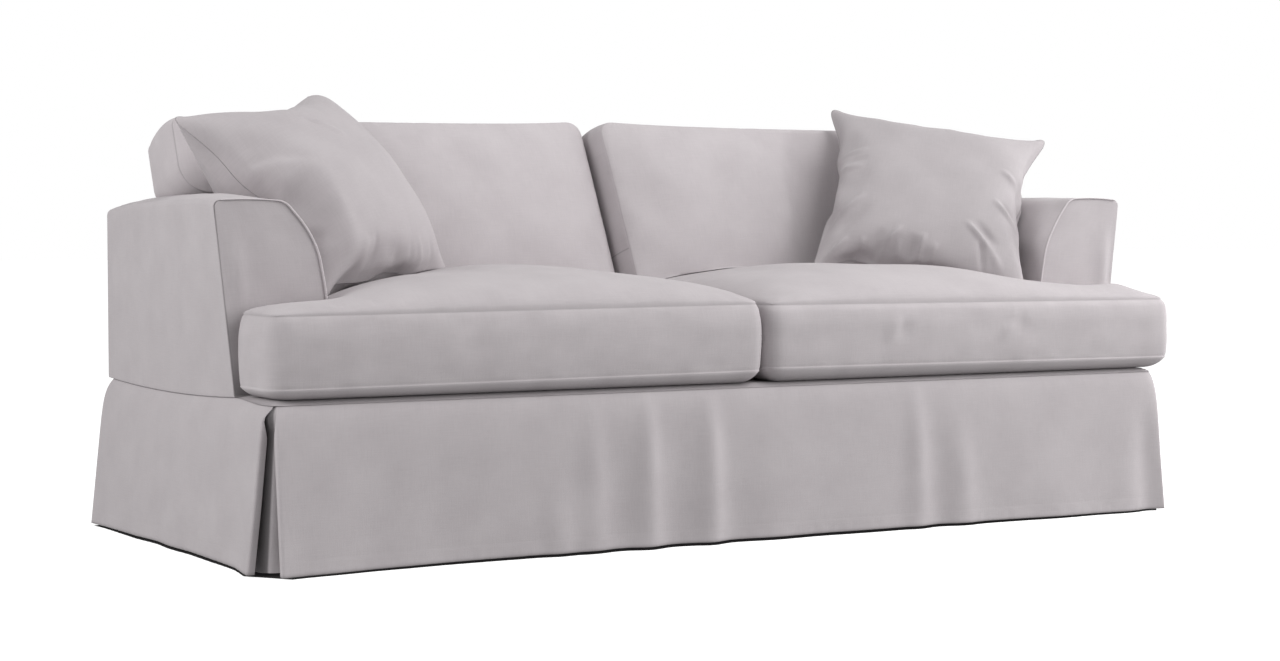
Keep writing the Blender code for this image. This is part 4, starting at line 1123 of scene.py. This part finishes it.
seatLeft = seatCushion("left", -1.0, {
    "joint": -0.0040, "outer": 1.0330, "crown": 0.075, "bottomSeam": 0.3310, "lift": 0.0037, "earBulge": 0.010,
    "earCorner": 0.034, "seed": 41,
    # how far the boxing bulges at shares of its height
    "boxing": [(0, 0), (0.07, 0.36), (0.2212, 0.80), (0.49, 1.0), (0.7819, 0.90), (1.0, 0.6)],
    "creases": [(1020, 300, 520, 600, 130, -45)]})
seatRight = seatCushion("right", 1.0, {
    "joint": 0.0275, "outer": 1.0560, "crown": 0.078, "bottomSeam": 0.3377, "lift": 0.0012, "earBulge": 0.013,
    "earCorner": 0.020, "seed": 47,
    "boxing": [(0, 0), (0.07, 0.55), (0.20, 0.90), (0.49, 1.0), (0.80, 0.98), (1.0, 0.75)],
    "creases": [(260, 540, 920, 100, 60, -20), (985, 20, 985, 130, 50, 10)],
    "boxCreases": [(335, 20, 300, 85, 10, 5.5), (360, 30, 335, 75, 12, -4), (625, 12, 635, 40, 8, 4.5),
                   (635, 40, 595, 85, 9, 6, 6), (655, 20, 650, 70, 14, -3.5)]})
# firstSeam paints a shade line (left) or a highlight (right) along the front seam, and tone paints light or shade over
# the whole cushion for how the light falls on it
backLeft = backCushion("left", -1.0, {
    "frontY": 0.700, "depth": 0.150, "turn": 0.0, "earLift": 0.004, "seed": 53, "firstSeam": 0.68, "tone": 1.06,
    "creases": [(100, -20, 60, -300, 50, 4, 10), (500, -30, 440, -80, 12, -2)]}, seatLeft)
backRight = backCushion("right", 1.0, {
    "frontY": 0.655, "depth": 0.185, "turn": 0.020, "earLift": 0.0, "seed": 59, "firstSeam": 1.06, "tone": 1.0,
    "creases": [(515, 20, 460, -400, 36, -24), (450, -60, 380, -380, 50, 6), (590, 20, 540, -400, 80, -46),
                (70, -60, 100, -300, 35, -5)]}, seatRight)
panels = blownPanels()
pillow("left", -1.0, {
    "centre": (-0.725, 0.511, 0.682), "right": (0.828, 0.540, 0.147), "up": (-0.443, 0.471, 0.763),
    "size": 0.500, "frontFull": 1.30, "backFull": 1.30, "seed": 61,
    # in millimetres: place, reach, then how far along, up and out
    "pulls": [(-225, 225, 60, -10, 8, 0), (-180, 220, 80, 0, 18, 0), (-30, 235, 80, 0, -16, 0),
              (70, -245, 160, 0, -26, 0), (100, 230, 60, 0, 12, 0), (150, 210, 70, 0, 12, 0),
              (245, 180, 70, 24, 0, 0)],
    # painted shade over the whole pillow, for how the light falls on it
    "tone": 0.985,
    # painted shade in hollows and folds: rows as for creases, the depth in thousandths of the tone
    "paintedShadeRows": [(-172, 30, -158, -130, 28, -130), (-215, -20, -215, -160, 20, -80)],
    "creases": [(-198, 89, -169, 60, 10, -5), (-182, 73, -100, 12, 12, -3.5), (-197, 70, -146, 23, 14, 4),
                (-214, 178, -140, 32, 30, -8), (-169, 15, -175, -150, 26, -24), (-125, 10, -146, -210, 22, 8),
                (-184, -88, -174, -124, 6, -6), (-97, -155, -140, -225, 12, 7), (-66, -165, -105, -220, 11, -6),
                (-81, -150, -70, -190, 7, -2.5), (68, -165, 110, -215, 7, 3.5), (40, -170, 70, -220, 7, -4),
                (0, -170, 20, -215, 8, -3.5), (125, -170, 158, -217, 7, -3), (-62, 127, 1, 77, 5, -3.5),
                (-21, 96, 33, 47, 6, 3)],
    "backCreases": [(-205, 190, -150, 20, 14, -9), (-180, 140, -190, 0, 14, 5)]}, seatLeft, backLeft)
pillow("right", 1.0, {
    "centre": (0.712, 0.395, 0.672), "right": (0.819, -0.556, -0.146), "up": (0.470, 0.502, 0.726),
    "size": 0.534, "frontFull": 0.89, "backFull": 0.62, "seed": 67,
    "pulls": [(-235, -35, 75, -22, 0, 0), (-240, -240, 70, 12, 0, 0), (240, 235, 60, 10, 4, 0),
              (-240, 240, 50, 0, 8, 0), (220, 30, 50, 8, 0, 0)],
    # painted shade over the whole pillow, for how the light falls on it
    "tone": 0.92,
    "paintedShadeRows": [(-150, -190, 0, -200, 25, -50)],
    "creases": [(-205, 58, -146, 68, 7, 6), (-200, 30, -143, 40, 8, -5.3), (-205, 6, -149, 18, 8, 6.7),
                (-216, -150, -135, -70, 7, 9.7), (-200, -178, -124, -94, 10, -6.7), (-228, -232, -168, -180, 6, 9),
                (-150, -225, -132, -180, 6, 6.7), (-118, -225, -96, -184, 8, -6), (-98, -215, -54, -150, 6, 8.3),
                (-130, -205, -90, -165, 12, -6), (-65, -225, -54, -177, 6, 6.7), (-40, -225, -22, -163, 14, -12),
                (-14, -215, -2, -155, 6, 6.7), (10, -220, 26, -172, 6, 6), (76, -108, 153, -178, 6, 9),
                (99, -104, 160, -158, 9, -8.3), (117, -137, 134, -224, 7, -9), (138, -162, 175, -212, 9, 6),
                (134, -34, 210, -92, 7, 9.7), (150, -35, 195, -60, 7, -4.5), (146, 62, 190, 34, 8, 6),
                (183, -82, 218, -181, 9, -7.5)],
    "backCreases": []}, seatRight, backRight)
print("cushions made")


stage = {
    "floor": 0.60, "glow": 0.80, "floorLevel": -0.002,
    "sky": 0.46,    # soft light from all round
    # soft boxes: place, what they face, size and power
    "lamps": {
        "overFront": ((1.8, -2.4, 3.6), (0.0, 0.0, 0.3), 3.0, 94.0),
        "right": ((3.6, -0.6, 1.3), (0.3, 0.2, 0.4), 2.0, 49.0),
        "left": ((-3.2, -0.3, 1.6), (-0.4, 0.4, 0.4), 2.0, 36.0),
        "above": ((0.3, 0.3, 3.2), (0.0, 0.3, 0.3), 2.5, 6.0),
        "frontRight": ((3.0, -3.2, 1.4), (0.5, 0.0, 0.4), 2.0, 34.0),
    },
}


# Something of the studio alone, which neither lights the object from below nor shades it.
def stageMesh(name, points, faces, material):
    made = addMesh(name, points, faces, material)
    made.visible_diffuse = made.visible_shadow = False


def makeFloor():
    material, shader = makeMaterial("paleFloor", {
        "Roughness": 1.0, "Specular IOR Level": 0.0, "Emission Color": (1, 1, 1, 1),
        "Emission Strength": stage["glow"]})
    start = Wire(material.node_tree)
    place = start.node("ShaderNodeTexCoord", output=3)
    grain = start.node("ShaderNodeTexNoise", None, {"Vector": place, "Scale": 3.0, "Detail": 2.0})
    (stage["floor"] + (grain - 0.5) * 0.01).to(shader.inputs["Base Color"])
    corners = [(-30, -30), (30, -30), (30, 30), (-30, 30)]
    stageMesh("floor", [(x, y, stage["floorLevel"]) for x, y in corners], [(0, 1, 2, 3)], material)


# Painted shadow on the ground inside the hems, seen in the gap under them: a flat black fan from the middle to
# the hem line.
def makeShade():
    front, left, right, rear = hemLines
    level = stage["floorLevel"] + 0.0006
    line = np.concatenate([front, right, rear, left]) * (1, 1, 0) + (0, railY, level)
    middle = len(line)
    material, _ = makeMaterial("groundShade", {"Base Color": (0.02, 0.019, 0.02, 1), "Roughness": 1.0})
    stageMesh("groundShade", [*line.tolist(), (0.0, railY + 0.4, level)],
              [(k, (k + 1) % middle, middle) for k in range(middle)], material)


# Even soft light from all round, seen as plain white behind the object.
def makeStudio():
    world = bpy.data.worlds.new("softStudio")
    bpy.context.scene.world = world
    world.use_nodes = True
    background = world.node_tree.nodes["Background"]
    background.inputs["Color"].default_value = (1, 1, 1, 1)
    behind = Wire(world.node_tree).node("ShaderNodeLightPath")
    (stage["sky"] + behind * (1 - stage["sky"])).to(background.inputs["Strength"])


# Round soft box at a place, turned to its aim.
def areaLight(name, place, aim, size, power):
    light = bpy.data.lights.new(name, "AREA")
    light.shape, light.size, light.energy = "DISK", size, power
    away = unit(np.array(place) - np.array(aim))
    lamp = addObject(name, light)
    lamp.location = place
    lamp.rotation_euler = (np.arccos(away[2]), 0.0, np.arctan2(away[1], away[0]) + np.pi / 2)


view = {
    "place": (-2.8454, -4.3706, 0.6477),
    "right": 0.5322,     # turned to the right of straight back
    "down": 0.0447,
    "lens": 73.92,
}


def makeCamera():  # the photo's view
    data = bpy.data.cameras.new("photoView")
    data.lens, data.sensor_width = view["lens"], 36.0
    camera = addObject("photoView", data)
    camera.location = np.array(view["place"]) + (0, railY, 0)
    camera.rotation_euler = (np.pi / 2 - view["down"], 0.0, -view["right"])
    bpy.context.scene.camera = camera


makeFloor()
makeShade()
makeStudio()
for name, lamp in stage["lamps"].items():
    areaLight(name, *lamp)
makeCamera()
bpy.context.scene.view_settings.view_transform = "Standard"
print("stage ready")
